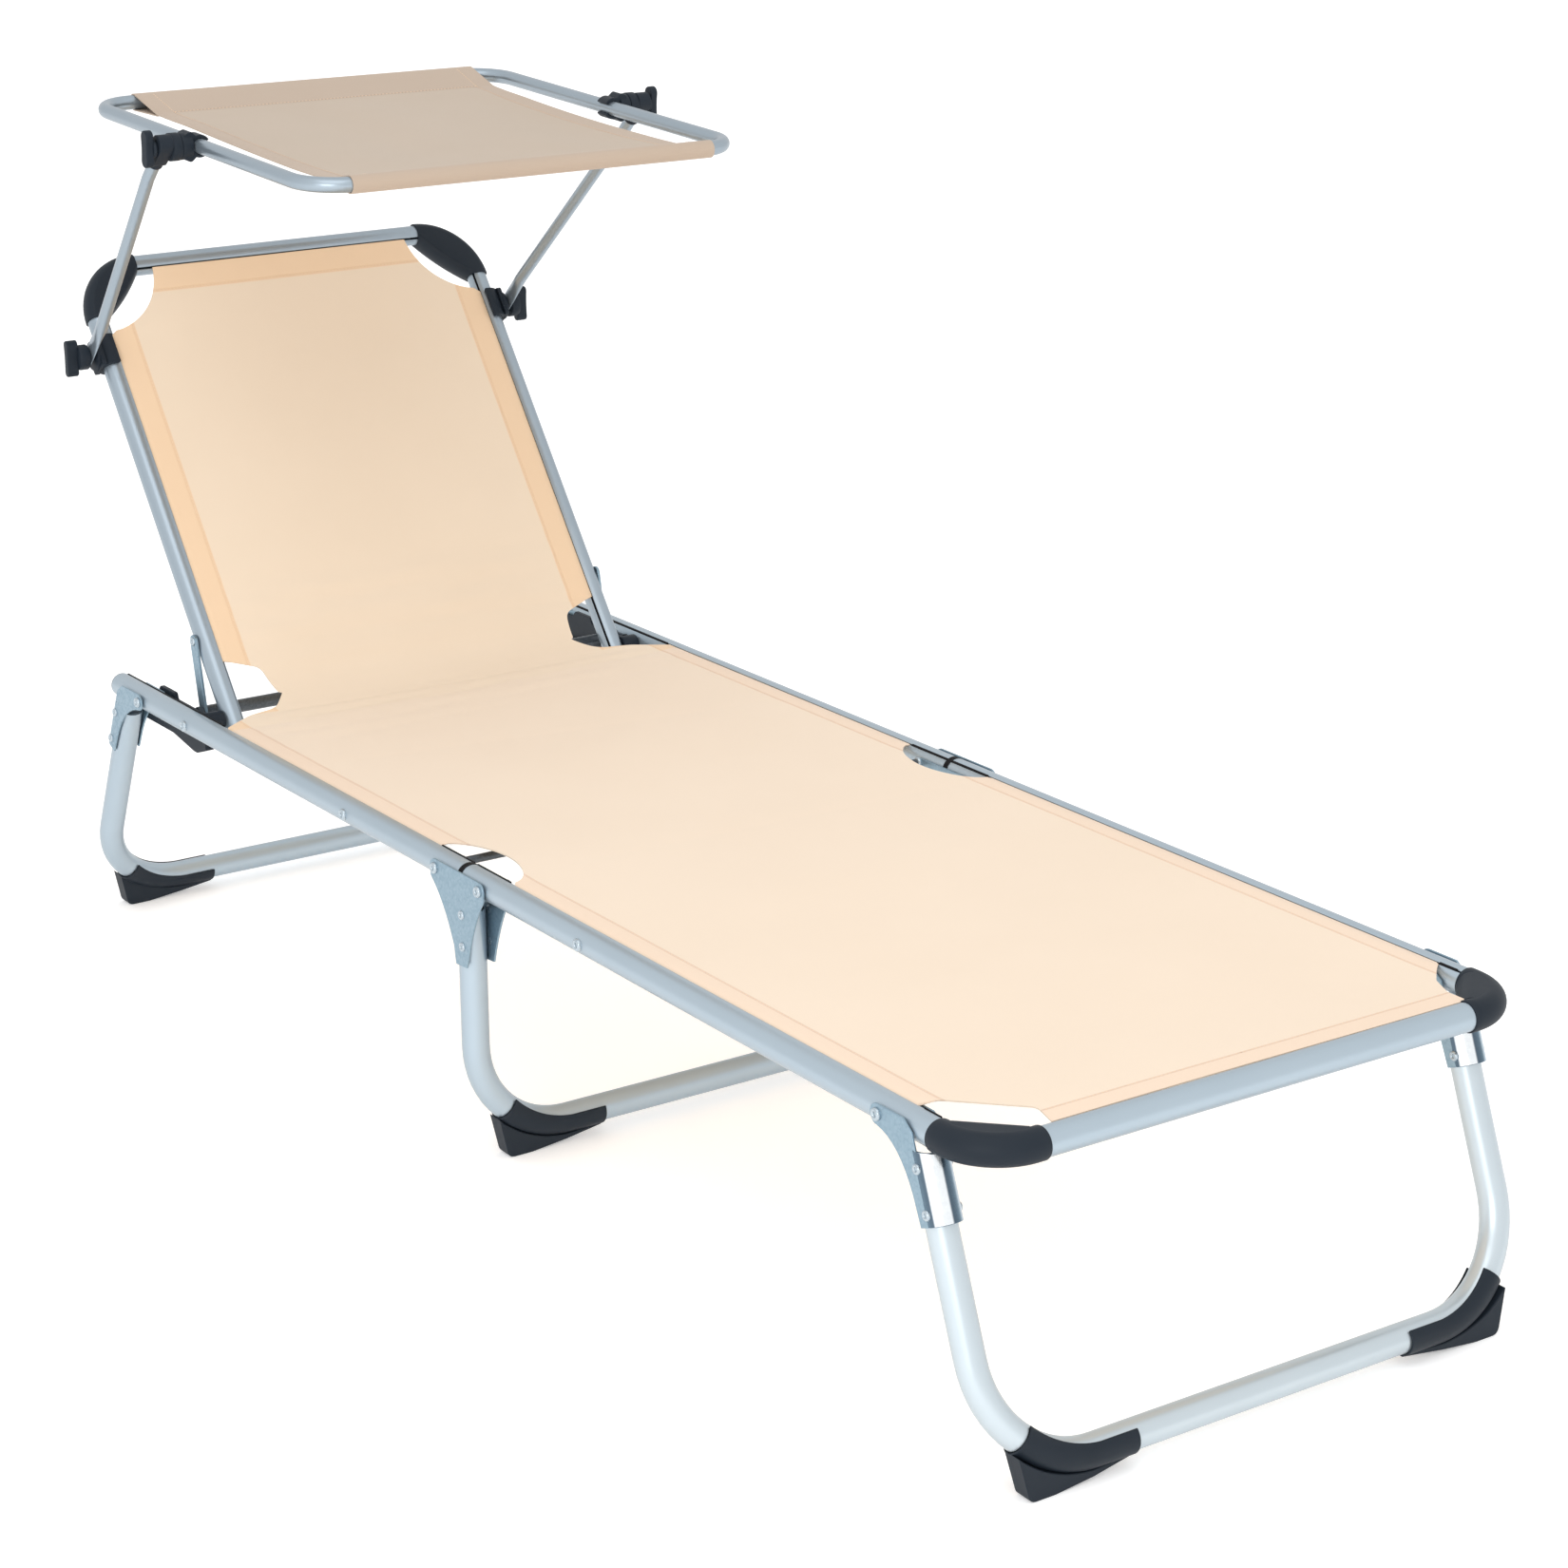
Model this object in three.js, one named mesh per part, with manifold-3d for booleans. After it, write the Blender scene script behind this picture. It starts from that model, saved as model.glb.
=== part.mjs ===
// A folding sun lounger with a canopy. Two bed halves meet at a hinged middle leg,
// a backrest reclines between the side rails, and clamped arms carry the shade.
// Lengths are in millimetres. +X runs toward the foot end, +Z is up, and the
// right side is -Y, as somebody lying on the bed would name it.
import * as THREE from 'three';
import { mergeVertices } from 'three/addons/utils/BufferGeometryUtils.js';
import Module from 'manifold-3d';

const wasm = await Module();
wasm.setup();

// Clearances
const fitGap = 0.3;
const sheetGap = 0.4;
const runningGap = 0.8;
const cutOverrun = 5;

// Bed frame
const bedSpread = 554;
const railDiameter = 25;
const railWall = 1.6;
const railHeight = 284;
const footReach = 769;
const foldGap = 4.6;
const slotWidth = 3;
const cornerReach = 56;
const cornerDiameter = 28;
const cornerCollar = 8;
const spigotLength = 22;
const braceDiameter = 12;
const headBraceReach = 225;
const footBraceReach = 208;
const reclineReach = 577;
const headPivotStep = 106;
const headPivotReach = reclineReach + headPivotStep;
const headRailTail = 72;
const headReach = headPivotReach + headRailTail;

// Legs
const legDiameter = 26;
const legWall = 1.6;
const legBendRadius = 95;
const barHeight = 23;
const foldPivotReach = 40;
const midLegDrop = 38;
const endLegDrop = 22;
const footPivotReach = 654;
const footLegOffset = 36.6;
const footLegSplay = 99.9;
const headLegOffset = 43.8;
const headLegSplay = 119.6;

// Leg brackets and rivets
const bracketSheet = 2;
const bracketLength = 83.5;
const bracketEyeRadius = 9;
const bracketInnerEyeRadius = 7.5;
const bracketTipWidth = 2;
const bracketWaistLength = 48;
const bracketWaistWidth = 8.5;
const bracketShoulderWidth = 6.5;
const bracketShoulderDrop = 2.5;
const midBracketEyeWidth = 48;
const midBracketHeadWidth = 16;
const midBracketHeadDrop = 18;
const midBracketFootWidth = 28;
const midBracketFootDrop = 36;
const midBracketTipWidth = 17;
const rivetDiameter = 7;
const rivetHeadDiameter = 11;
const rivetHeadHeight = 2.5;
const crossRodDiameter = 8;

// Foot pads
const padWidth = 30;
const padSole = 15;
const padInnerLength = 37;
const padEndAngle = 40;

// Backrest
const reclineAngle = 53.1;
const backSpread = 468;
const backTubeDiameter = 22;
const backWall = 1.5;
const backLength = 529;
const backTail = 14;
const backCornerReach = 60;
const backCornerLip = 1.5;
const spacerDiameter = 19;

// Backrest stay and its notched racks
const stayReach = 90;
const stayLength = 75.5;
const stayLean = 11.5;
const stayBarDiameter = 14;
const stayArmThickness = 3;
const stayArmWidth = 14;
const stayFlatDrop = 20.5;
const rackWall = 4.7;
const rackLedge = 5.5;
const rackStart = 11;
const rackLength = 157;
const rackDepth = 43;
const rackEndDepth = 35;
const rackBlockHeight = 17;
const rackBlockStart = 85;
const rackBlockLength = 38;
const rackNotchDip = 1.8;
const rackBossDiameter = 12;
const rackBossReach = 22;
const rackBossPitch = 30;

// Fabric
const sheetThickness = 1.2;
const foldCutReach = 66;
const foldCutDepth = 34;
const neckHalfWidth = 176;
const neckBedReach = 45;
const neckBackReach = 66;
const neckRound = 22;
const footCutReach = 75;
const footCutSide = 68;
const backCutRadius = 79;
const hingeSheetGap = 11;

// Canopy and its arms
const clampDrop = 100;
const clampReach = backLength - clampDrop;
const armLength = 363.8;
const armAngle = 44.2;
const armDiameter = 13;
const armLowReach = 23;
const armHighReach = 38;
const armBladeThickness = 4;
const armBladeWidth = 18;
const armBladeLength = 45;
const armStraight = 39;
const canopySpread = 482;
const canopyTubeDiameter = 15;
const canopyReach = 250;
const canopyTilt = 2.8;
const canopyCorner = 45;
const canopySheetWidth = 400;
const canopySheetWaist = 394;
const canopySeamReach = 195;
const canopySeamDrop = 4.5;
const canopySag = 3.5;
const pinDiameter = 8;

// Clamps and knobs
const clampLength = 34;
const clampHeight = 30;
const clampWall = 4.7;
const clampDiscDiameter = 32;
const clampDiscHeight = 3;
const hubDiameter = 27;
const hubHeight = 12.5;
const wingSpan = 39;
const wingWidth = 10;
const wingHeight = 11.5;
const clipLength = 22;
const clipWall = 4.5;
const clipSlit = 8;
const clipDiscDiameter = 28;
const clipDiscReach = 20;
const socketLength = 42;
const socketHeight = 20;
const socketWidth = 15.6;
const socketDepth = 12;
const smallHubDiameter = 18;
const smallHubHeight = 6;
const smallWingHeight = 7;

// How round the pieces are cut
const tubeSides = 12;
const smallSides = 12;
const bendSteps = 6;
const curveSteps = 6;
const domeSteps = 3;
const notchCount = 5;

const degrees = Math.PI / 180;
const railRadius = railDiameter / 2;
const legRadius = legDiameter / 2;
const backRadius = backTubeDiameter / 2;
const canopyRadius = canopyTubeDiameter / 2;
const armRadius = armDiameter / 2;
const bedHalf = bedSpread / 2;
const backHalf = backSpread / 2;
const canopyHalf = canopySpread / 2;
const slotShare = Math.SQRT1_2;
const plateInner = Math.max(legRadius, railRadius) + fitGap;
const plateOuter = plateInner + bracketSheet;

const aluminium = new THREE.MeshStandardMaterial({ color: 0xb4bdc4, roughness: 0.35, metalness: 0.9 });
const steel = new THREE.MeshStandardMaterial({ color: 0xa9bcc6, roughness: 0.3, metalness: 0.9 });
const plastic = new THREE.MeshStandardMaterial({ color: 0x1d1e22, roughness: 0.55, metalness: 0 });
const fabric = new THREE.MeshStandardMaterial({ color: 0xf3dcc2, roughness: 0.9, metalness: 0 });

// A path whose rings sit exactly at the points it is given.
class RingPath extends THREE.Curve {
  constructor(points) {
    super();
    this.points = points;
  }
  getPoint(t, target = new THREE.Vector3()) {
    const at = t * (this.points.length - 1);
    const i = Math.min(Math.floor(at), this.points.length - 2);
    return target.lerpVectors(this.points[i], this.points[i + 1], at - i);
  }
  getPointAt(t, target) {
    return this.getPoint(t, target);
  }
  getTangentAt(t, target = new THREE.Vector3()) {
    const at = Math.round(t * (this.points.length - 1));
    const before = this.points[Math.max(at - 1, 0)];
    const after = this.points[Math.min(at + 1, this.points.length - 1)];
    return target.subVectors(after, before).normalize();
  }
}

function bare(geometry) {
  const copy = geometry.clone();
  copy.deleteAttribute('normal');
  copy.deleteAttribute('uv');
  return mergeVertices(copy);
}

function toSolid(geometry) {
  const merged = bare(geometry);
  const vertProperties = new Float32Array(merged.attributes.position.array);
  const triVerts = new Uint32Array(merged.index.array);
  return new wasm.Manifold(new wasm.Mesh({ numProp: 3, vertProperties, triVerts }));
}

function toGeometry(solid) {
  const mesh = solid.getMesh();
  const geometry = new THREE.BufferGeometry();
  geometry.setAttribute('position', new THREE.BufferAttribute(mesh.vertProperties, 3));
  geometry.setIndex(new THREE.BufferAttribute(mesh.triVerts, 1));
  return geometry;
}

function joined(first, ...others) {
  return toGeometry(others.reduce((whole, other) => whole.add(toSolid(other)), toSolid(first)));
}

function cut(first, ...tools) {
  return toGeometry(tools.reduce((whole, tool) => whole.subtract(toSolid(tool)), toSolid(first)));
}

function common(first, second) {
  return toGeometry(toSolid(first).intersect(toSolid(second)));
}

// Reflects a shape across the plane square to one axis, faces still outward.
function mirrored(geometry, axis) {
  const copy = bare(geometry);
  const size = new THREE.Vector3(1, 1, 1);
  size[axis] = -1;
  copy.scale(size.x, size.y, size.z);
  const corners = copy.index.array;
  for (let i = 0; i < corners.length; i += 3) {
    [corners[i + 1], corners[i + 2]] = [corners[i + 2], corners[i + 1]];
  }
  return copy;
}

function turned(geometry, angle) {
  return geometry.clone().rotateY(angle);
}

function moved(geometry, x, y, z) {
  return geometry.clone().translate(x, y, z);
}

function arcPoints(x, y, radius, from, to, steps) {
  const points = [];
  for (let i = 0; i <= steps; i += 1) {
    const angle = from + ((to - from) * i) / steps;
    points.push(new THREE.Vector2(x + radius * Math.cos(angle), y + radius * Math.sin(angle)));
  }
  return points;
}

function circlePoints(radius, sides) {
  return arcPoints(0, 0, radius, 0, 2 * Math.PI, sides).slice(0, sides);
}

function disc(radius, sides = tubeSides) {
  return new THREE.Shape(circlePoints(radius, sides));
}

function ring(radius, wall) {
  const shape = disc(radius);
  shape.holes.push(new THREE.Path(circlePoints(radius - wall, tubeSides)));
  return shape;
}

// A tube section with a slot that opens toward an angle.
function slottedRing(radius, wall, angle) {
  const outer = Math.asin(slotWidth / 2 / radius);
  const inner = Math.asin(slotWidth / 2 / (radius - wall));
  const full = 2 * Math.PI;
  const outside = arcPoints(0, 0, radius, angle + outer, angle + full - outer, tubeSides);
  const inside = arcPoints(0, 0, radius - wall, angle + full - inner, angle + inner, tubeSides);
  return new THREE.Shape([...outside, ...inside]);
}

function box(x0, y0, x1, y1) {
  const corners = [[x0, y0], [x1, y0], [x1, y1], [x0, y1]];
  return new THREE.Shape(corners.map(([x, y]) => new THREE.Vector2(x, y)));
}

function outline(points) {
  return new THREE.Shape(points.map(([x, y]) => new THREE.Vector2(x, y)));
}

function alongZ(shape, from, to) {
  const geometry = new THREE.ExtrudeGeometry(shape, {
    depth: to - from,
    bevelEnabled: false,
    curveSegments: curveSteps,
  });
  return geometry.translate(0, 0, from);
}

// The shape's two axes become Y and Z, and it is drawn out along X.
function alongX(shape, from, to) {
  const turn = new THREE.Matrix4().makeBasis(
    new THREE.Vector3(0, 1, 0),
    new THREE.Vector3(0, 0, 1),
    new THREE.Vector3(1, 0, 0),
  );
  return alongZ(shape, from, to).applyMatrix4(turn);
}

// The shape's two axes become X and Z, and it is drawn out along Y.
function alongY(shape, from, to) {
  const turn = new THREE.Matrix4().makeBasis(
    new THREE.Vector3(1, 0, 0),
    new THREE.Vector3(0, 0, 1),
    new THREE.Vector3(0, -1, 0),
  );
  return alongZ(shape, -to, -from).applyMatrix4(turn);
}

function bentPath(corners, radius) {
  const points = [corners[0]];
  for (let i = 1; i < corners.length - 1; i += 1) {
    const back = corners[i - 1].clone().sub(corners[i]).normalize();
    const onward = corners[i + 1].clone().sub(corners[i]).normalize();
    const half = Math.PI / 2 - back.angleTo(onward) / 2;
    const inward = back.clone().add(onward).normalize();
    const sideways = onward.clone().sub(back).normalize();
    const centre = corners[i].clone().addScaledVector(inward, radius / Math.cos(half));
    for (let k = 0; k <= bendSteps; k += 1) {
      const angle = half * ((2 * k) / bendSteps - 1);
      const point = centre.clone().addScaledVector(inward, -radius * Math.cos(angle));
      points.push(point.addScaledVector(sideways, radius * Math.sin(angle)));
    }
  }
  points.push(corners[corners.length - 1]);
  return points;
}

function sweep(shape, points) {
  return new THREE.ExtrudeGeometry(shape, {
    steps: points.length - 1,
    extrudePath: new RingPath(points),
  });
}

function add(group, name, geometry, material) {
  const finished = bare(geometry);
  finished.computeVertexNormals();
  const mesh = new THREE.Mesh(finished, material);
  mesh.name = name;
  group.add(mesh);
}

// Adds a piece on the right, and its mirror image on the left.
function addPair(group, name, geometry, material) {
  add(group, `${name}_right`, geometry, material);
  add(group, `${name}_left`, mirrored(geometry, 'y'), material);
}

// A straight side rail on the right, with its rivet holes.
function sideRail(from, to, holes) {
  const section = slottedRing(railRadius, railWall, Math.PI / 4);
  const tube = alongX(section, from, to).translate(0, -bedHalf, 0);
  const drill = alongY(disc(rivetDiameter / 2 + fitGap, smallSides), -cutOverrun, cutOverrun);
  const long = drill.clone().scale(1, (railDiameter + cutOverrun) / cutOverrun, 1);
  return cut(tube, ...holes.map((x) => moved(long, x, -bedHalf, 0)));
}

function addBedFrame(head, foot) {
  const headRail = sideRail(-headReach, -foldGap / 2, [-headPivotReach, -foldPivotReach]);
  addPair(head, 'head_rail', headRail, aluminium);
  const railEnd = footReach - cornerReach;
  const footRail = sideRail(foldGap / 2, railEnd, [foldPivotReach, footPivotReach]);
  addPair(foot, 'foot_rail', footRail, aluminium);

  const section = slottedRing(railRadius, railWall, (3 * Math.PI) / 4);
  const half = bedHalf - cornerReach;
  add(foot, 'foot_end_tube', alongY(section, -half, half).translate(footReach, 0, 0), aluminium);
  addPair(foot, 'corner_elbow', cornerElbow(railEnd, half), plastic);

  const braceHalf = bedHalf - railRadius - fitGap;
  const brace = alongY(disc(braceDiameter / 2, smallSides), -braceHalf, braceHalf);
  add(head, 'head_cross_brace', moved(brace, -headBraceReach, 0, 0), aluminium);
  add(foot, 'foot_cross_brace', moved(brace, footBraceReach, 0, 0), aluminium);
}

// The elbow at the right foot corner, with a spigot in each tube it joins.
function cornerElbow(railEnd, tubeHalf) {
  const start = new THREE.Vector3(railEnd + fitGap, -bedHalf, 0);
  const corner = new THREE.Vector3(footReach, -bedHalf, 0);
  const end = new THREE.Vector3(footReach, -tubeHalf - fitGap, 0);
  const path = bentPath([start, corner, end], cornerReach - cornerCollar);
  const spigot = disc(railRadius - railWall - sheetGap, smallSides);
  const along = alongX(spigot, railEnd - spigotLength, railEnd + cornerCollar);
  const across = alongY(spigot, -tubeHalf - cornerCollar, -tubeHalf + spigotLength);
  return joined(
    sweep(disc(cornerDiameter / 2), path),
    moved(along, 0, -bedHalf, 0),
    moved(across, footReach, 0, 0),
  );
}

// Leg frames. A leg frame's own Z runs up along its tube, its X points the way it splays,
// and its origin is where the tube's line crosses the rails' height.
function legFrame(offset, splay, drop) {
  const height = railHeight - barHeight;
  const tilt = Math.atan2(splay, height);
  const down = height / Math.cos(tilt);
  const pivot = [-offset * Math.cos(tilt), offset * Math.sin(tilt)];
  return { offset, splay, tilt, down, pivot, top: drop / Math.cos(tilt) };
}

function legPath(leg) {
  const corners = [
    new THREE.Vector3(0, -bedHalf, -leg.top),
    new THREE.Vector3(0, -bedHalf, -leg.down),
    new THREE.Vector3(0, bedHalf, -leg.down),
    new THREE.Vector3(0, bedHalf, -leg.top),
  ];
  return bentPath(corners, legBendRadius);
}

// The half-round back of a bracket, which wraps the leg on the side it splays to.
function bracketBack(top) {
  const quarter = Math.PI / 2;
  const shape = new THREE.Shape([
    ...arcPoints(0, 0, plateOuter, -quarter, quarter, curveSteps),
    ...arcPoints(0, 0, plateInner, quarter, -quarter, curveSteps),
  ]);
  return alongZ(shape, -bracketLength, -top);
}

function bracketFrom(outerPlate, innerPlate, back, holes) {
  const near = alongY(outerPlate, -plateOuter, -plateInner);
  const far = alongY(innerPlate, plateInner, plateOuter);
  const drill = alongY(disc(rivetDiameter / 2 + fitGap, smallSides), -legDiameter, legDiameter);
  return cut(joined(near, far, back), ...holes.map(([x, z]) => moved(drill, x, 0, z)));
}

// The side plate of an end leg's bracket, with one eye round the rivet in the rail. Its
// top edge runs level from the eye to above the leg, then down to the half-round back.
function endPlate(leg, eyeRadius) {
  const [x, z] = leg.pivot;
  const up = Math.PI / 2 - leg.tilt;
  const lap = bracketSheet / 2;
  const crown = eyeRadius / Math.cos(leg.tilt);
  const shape = new THREE.Shape();
  shape.moveTo(-bracketTipWidth, -bracketLength);
  shape.lineTo(lap, -bracketLength);
  shape.lineTo(lap, -leg.top);
  shape.lineTo(bracketShoulderWidth, -leg.top);
  shape.lineTo(bracketShoulderWidth, -bracketShoulderDrop);
  shape.lineTo(0, crown);
  for (const point of arcPoints(x, z, eyeRadius, up, up + Math.PI, curveSteps)) {
    shape.lineTo(point.x, point.y);
  }
  shape.quadraticCurveTo(-bracketWaistWidth, 0, -bracketTipWidth, -bracketWaistLength);
  shape.lineTo(-bracketTipWidth, -bracketLength);
  return shape;
}

// The inner plate has the smaller eye, which stays under the fabric as the leg folds.
function endBracket(leg) {
  const outer = endPlate(leg, bracketEyeRadius);
  const inner = endPlate(leg, bracketInnerEyeRadius);
  return bracketFrom(outer, inner, bracketBack(leg.top), [leg.pivot]);
}

// The funnel-shaped bracket in the middle, with a rivet eye for each bed half. Its
// half-round back wraps the leg on the head side.
function midBracket(leg) {
  const reach = foldPivotReach;
  const eye = bracketEyeRadius;
  const low = -bracketLength;
  const side = midBracketEyeWidth;
  const shape = new THREE.Shape();
  shape.moveTo(0, low);
  shape.lineTo(midBracketTipWidth, low);
  shape.quadraticCurveTo(midBracketFootWidth, -midBracketFootDrop, side, -eye);
  shape.absarc(reach, 0, eye, 0, Math.PI / 2, false);
  shape.absarc(-reach, 0, eye, Math.PI / 2, Math.PI, false);
  shape.lineTo(-side, -eye);
  shape.quadraticCurveTo(-midBracketHeadWidth, -midBracketHeadDrop, -legRadius, -leg.top);
  shape.lineTo(0, -leg.top);
  shape.lineTo(0, low);
  const back = mirrored(bracketBack(leg.top - bracketSheet), 'x');
  return bracketFrom(shape, shape, back, [[-reach, 0], [reach, 0]]);
}

// A rivet through both bracket plates and the rail, its head on the outer side.
function rivet() {
  const quarter = Math.PI / 2;
  const shank = rivetDiameter / 2;
  const head = rivetHeadDiameter / 2;
  const seat = plateOuter + fitGap;
  const dome = arcPoints(0, 0, 1, 0, quarter, domeSteps);
  const profile = [
    new THREE.Vector2(0, -plateOuter),
    new THREE.Vector2(shank, -plateOuter),
    new THREE.Vector2(shank, seat),
    ...dome.map((p) => new THREE.Vector2(head * p.x, seat + rivetHeadHeight * p.y)),
  ];
  profile[profile.length - 1].x = 0;
  return new THREE.LatheGeometry(profile, smallSides).rotateZ(Math.PI);
}

// The moulded pad under a bend: a flat sole, an upright end and a saddle for the tube.
function footPad(leg) {
  const quarter = Math.PI / 2;
  const rise = Math.cos(leg.tilt);
  const bendY = legBendRadius - bedHalf;
  const bendZ = barHeight + legBendRadius * rise;
  const end = padEndAngle * degrees - quarter;
  const tread = legBendRadius + padSole;
  const tip = [bendY - tread * Math.cos(end), bendZ + tread * Math.sin(end) * rise];
  const saddle = arcPoints(bendY, 0, -legBendRadius, -end, quarter, curveSteps);
  const shape = outline([
    [bendY + padInnerLength, 0],
    [bendY + padInnerLength, barHeight],
    ...saddle.reverse().map((p) => [p.x, bendZ + p.y * rise]),
    tip,
    [tip[0] + railWall, 0],
  ]);
  const block = mirrored(alongX(shape, -padWidth / 2, padWidth / 2), 'z');
  const upright = mirrored(block, 'z');
  const lean = new THREE.Matrix4().makeShear(0, 0, 0, 0, -Math.tan(leg.tilt), 0);
  upright.translate(0, 0, -barHeight).applyMatrix4(lean);
  const tube = sweep(disc(legRadius + fitGap), legPath(leg));
  tube.translate(0, 0, leg.down).rotateY(-leg.tilt);
  return cut(upright, tube).translate(leg.offset + leg.splay, 0, barHeight - railHeight);
}

// One end leg, built splaying toward +X and mirrored for the head end.
function addEndLeg(group, name, leg, direction) {
  const place = (geometry) => (direction > 0 ? geometry : mirrored(geometry, 'x'));
  const lean = (geometry) => turned(geometry, -leg.tilt).translate(leg.offset, 0, 0);
  const tube = sweep(ring(legRadius, legWall), legPath(leg));
  add(group, `${name}_leg_tube`, place(lean(tube)), aluminium);
  const bracket = lean(moved(endBracket(leg), 0, -bedHalf, 0));
  addPair(group, `${name}_leg_bracket`, place(bracket), steel);
  addPair(group, `${name}_leg_pad`, place(footPad(leg)), plastic);
  addPair(group, `${name}_leg_rivet`, moved(rivet(), 0, -bedHalf, 0), steel);
}

function addMidLeg(group) {
  const leg = legFrame(0, 0, midLegDrop);
  const tube = sweep(ring(legRadius, legWall), legPath(leg));
  add(group, 'mid_leg_tube', tube, aluminium);
  addPair(group, 'mid_leg_bracket', moved(midBracket(leg), 0, -bedHalf, 0), steel);
  addPair(group, 'mid_leg_pad', footPad(leg), plastic);
  addPair(group, 'head_fold_rivet', moved(rivet(), -foldPivotReach, -bedHalf, 0), steel);
  addPair(group, 'foot_fold_rivet', moved(rivet(), foldPivotReach, -bedHalf, 0), steel);
  const rodHalf = bedHalf - plateOuter - fitGap;
  const rod = alongY(disc(crossRodDiameter / 2, smallSides), -rodHalf, rodHalf);
  add(group, 'mid_cross_rod', moved(rod, -foldPivotReach, 0, 0), steel);
}

// Fabric sheets. Each outline is drawn for one side and mirrored for the other.
function sheet(half, height) {
  const whole = [...half, ...half.map(([x, y]) => [x, -y]).reverse()];
  const low = height - sheetThickness / 2;
  return alongZ(outline(whole), low, low + sheetThickness);
}

// One side of the cut-out at the fold line, from the line out to the rail.
function foldCut(edge) {
  const curve = new THREE.CubicBezierCurve(
    new THREE.Vector2(0, edge - foldCutDepth),
    new THREE.Vector2(foldCutReach / 2, edge - foldCutDepth),
    new THREE.Vector2(foldCutReach, edge - foldCutDepth / 2),
    new THREE.Vector2(foldCutReach, edge),
  );
  return curve.getPoints(curveSteps);
}

function addBedSheets(head, foot) {
  const height = railRadius * slotShare;
  const edge = bedHalf - height - sheetGap;
  const middle = foldCut(edge);
  const start = foldGap / 4;
  const tip = hingeSheetGap - reclineReach;
  const headHalf = [
    [-start, edge - foldCutDepth],
    ...middle.slice(1).map((p) => [-p.x, p.y]),
    [neckBedReach - reclineReach, edge],
    [neckRound - reclineReach, neckHalfWidth + hingeSheetGap],
    [tip, neckHalfWidth],
  ];
  add(head, 'bed_fabric_head', sheet(headHalf, height), fabric);

  const end = footReach - height - sheetGap;
  const side = edge - footCutSide;
  const footHalf = [
    [start, edge - foldCutDepth],
    ...middle.slice(1).map((p) => [p.x, p.y]),
    [end - footCutReach, edge],
    [end - footCutReach, edge - footCutSide / 2],
    [end - footCutReach / 2, side],
    [end, side],
  ];
  add(foot, 'bed_fabric_foot', sheet(footHalf, height), fabric);
}

// The backrest lies along -X in its own frame, with its pivot at the origin.
function addBackrest(group) {
  const side = slottedRing(backRadius, backWall, Math.PI / 4);
  const tubeEnd = backLength - backCornerReach;
  const tube = alongX(side, -tubeEnd + fitGap, backTail).translate(0, -backHalf, 0);
  addPair(group, 'backrest_tube', tube, aluminium);

  const top = slottedRing(backRadius, backWall, Math.PI / 4);
  const half = backHalf - backCornerReach - fitGap;
  const topTube = alongY(top, -half, half).translate(-backLength, 0, 0);
  add(group, 'backrest_top_tube', topTube, aluminium);
  addPair(group, 'backrest_corner', backCorner(), plastic);

  const height = backRadius * slotShare;
  const edge = backHalf - height - sheetGap;
  const end = backLength - height - sheetGap;
  const from = Math.acos((backHalf - edge) / backCutRadius);
  const to = Math.asin((backLength - end) / backCutRadius);
  const turn = -Math.PI / 2;
  const corner = arcPoints(-backLength, backHalf, backCutRadius, from + turn, to + turn, curveSteps);
  const halfSheet = [
    [-neckRound / 2, neckHalfWidth],
    [-neckBackReach + neckRound, neckHalfWidth + hingeSheetGap],
    [-neckBackReach, edge],
    ...backCutPoints(edge, end, corner),
  ];
  add(group, 'backrest_fabric', sheet(halfSheet, height), fabric);
}

// The concave quarter circle at a top corner, from the side edge to the top edge.
function backCutPoints(edge, end, corner) {
  const inside = corner.filter((p) => p.y < edge && -p.x < end);
  const down = Math.sqrt(backCutRadius ** 2 - (backHalf - edge) ** 2);
  const across = Math.sqrt(backCutRadius ** 2 - (backLength - end) ** 2);
  return [
    [down - backLength, edge],
    ...inside.map((p) => [p.x, p.y]),
    [-end, backHalf - across],
  ];
}

// A D-shaped corner piece with a spigot in each tube it joins.
function backCorner() {
  const quarter = Math.PI / 2;
  const x = backCornerReach - backLength;
  const y = backCornerReach - backHalf;
  const outer = backCornerReach + backRadius + backCornerLip;
  const inner = backCornerReach - backRadius - backCornerLip;
  const shape = new THREE.Shape([
    ...arcPoints(x, y, outer, 2 * quarter, 3 * quarter, 2 * curveSteps),
    new THREE.Vector2(x, y - inner),
    new THREE.Vector2(x - inner, y),
  ]);
  const half = backRadius + backCornerLip;
  const spigot = disc(backRadius - backWall - sheetGap, smallSides);
  const reach = spigotLength;
  const across = alongY(spigot, y - reach, y + reach).translate(-backLength, 0, 0);
  const along = alongX(spigot, x - reach, x + reach).translate(0, -backHalf, 0);
  return joined(alongZ(shape, -half, half), across, along);
}

function addSpacers(group) {
  const outer = bedHalf - railRadius - fitGap;
  const inner = backHalf + backRadius + fitGap;
  const spacer = alongY(disc(spacerDiameter / 2), -outer, -inner);
  addPair(group, 'backrest_pivot_spacer', moved(spacer, -reclineReach, 0, 0), plastic);
}

// Where the stay's bar is, from the backrest pivot, as the backrest goes from up to flat.
function stayBarPlace(share) {
  const angle = reclineAngle * degrees * (1 - share);
  const flat = Math.acos(stayFlatDrop / stayLength);
  const lean = stayLean * degrees * (1 - share) + flat * share;
  const x = stayReach * Math.cos(angle) + stayLength * Math.sin(lean);
  const z = stayReach * Math.sin(angle) - stayLength * Math.cos(lean);
  return [x, z];
}

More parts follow.
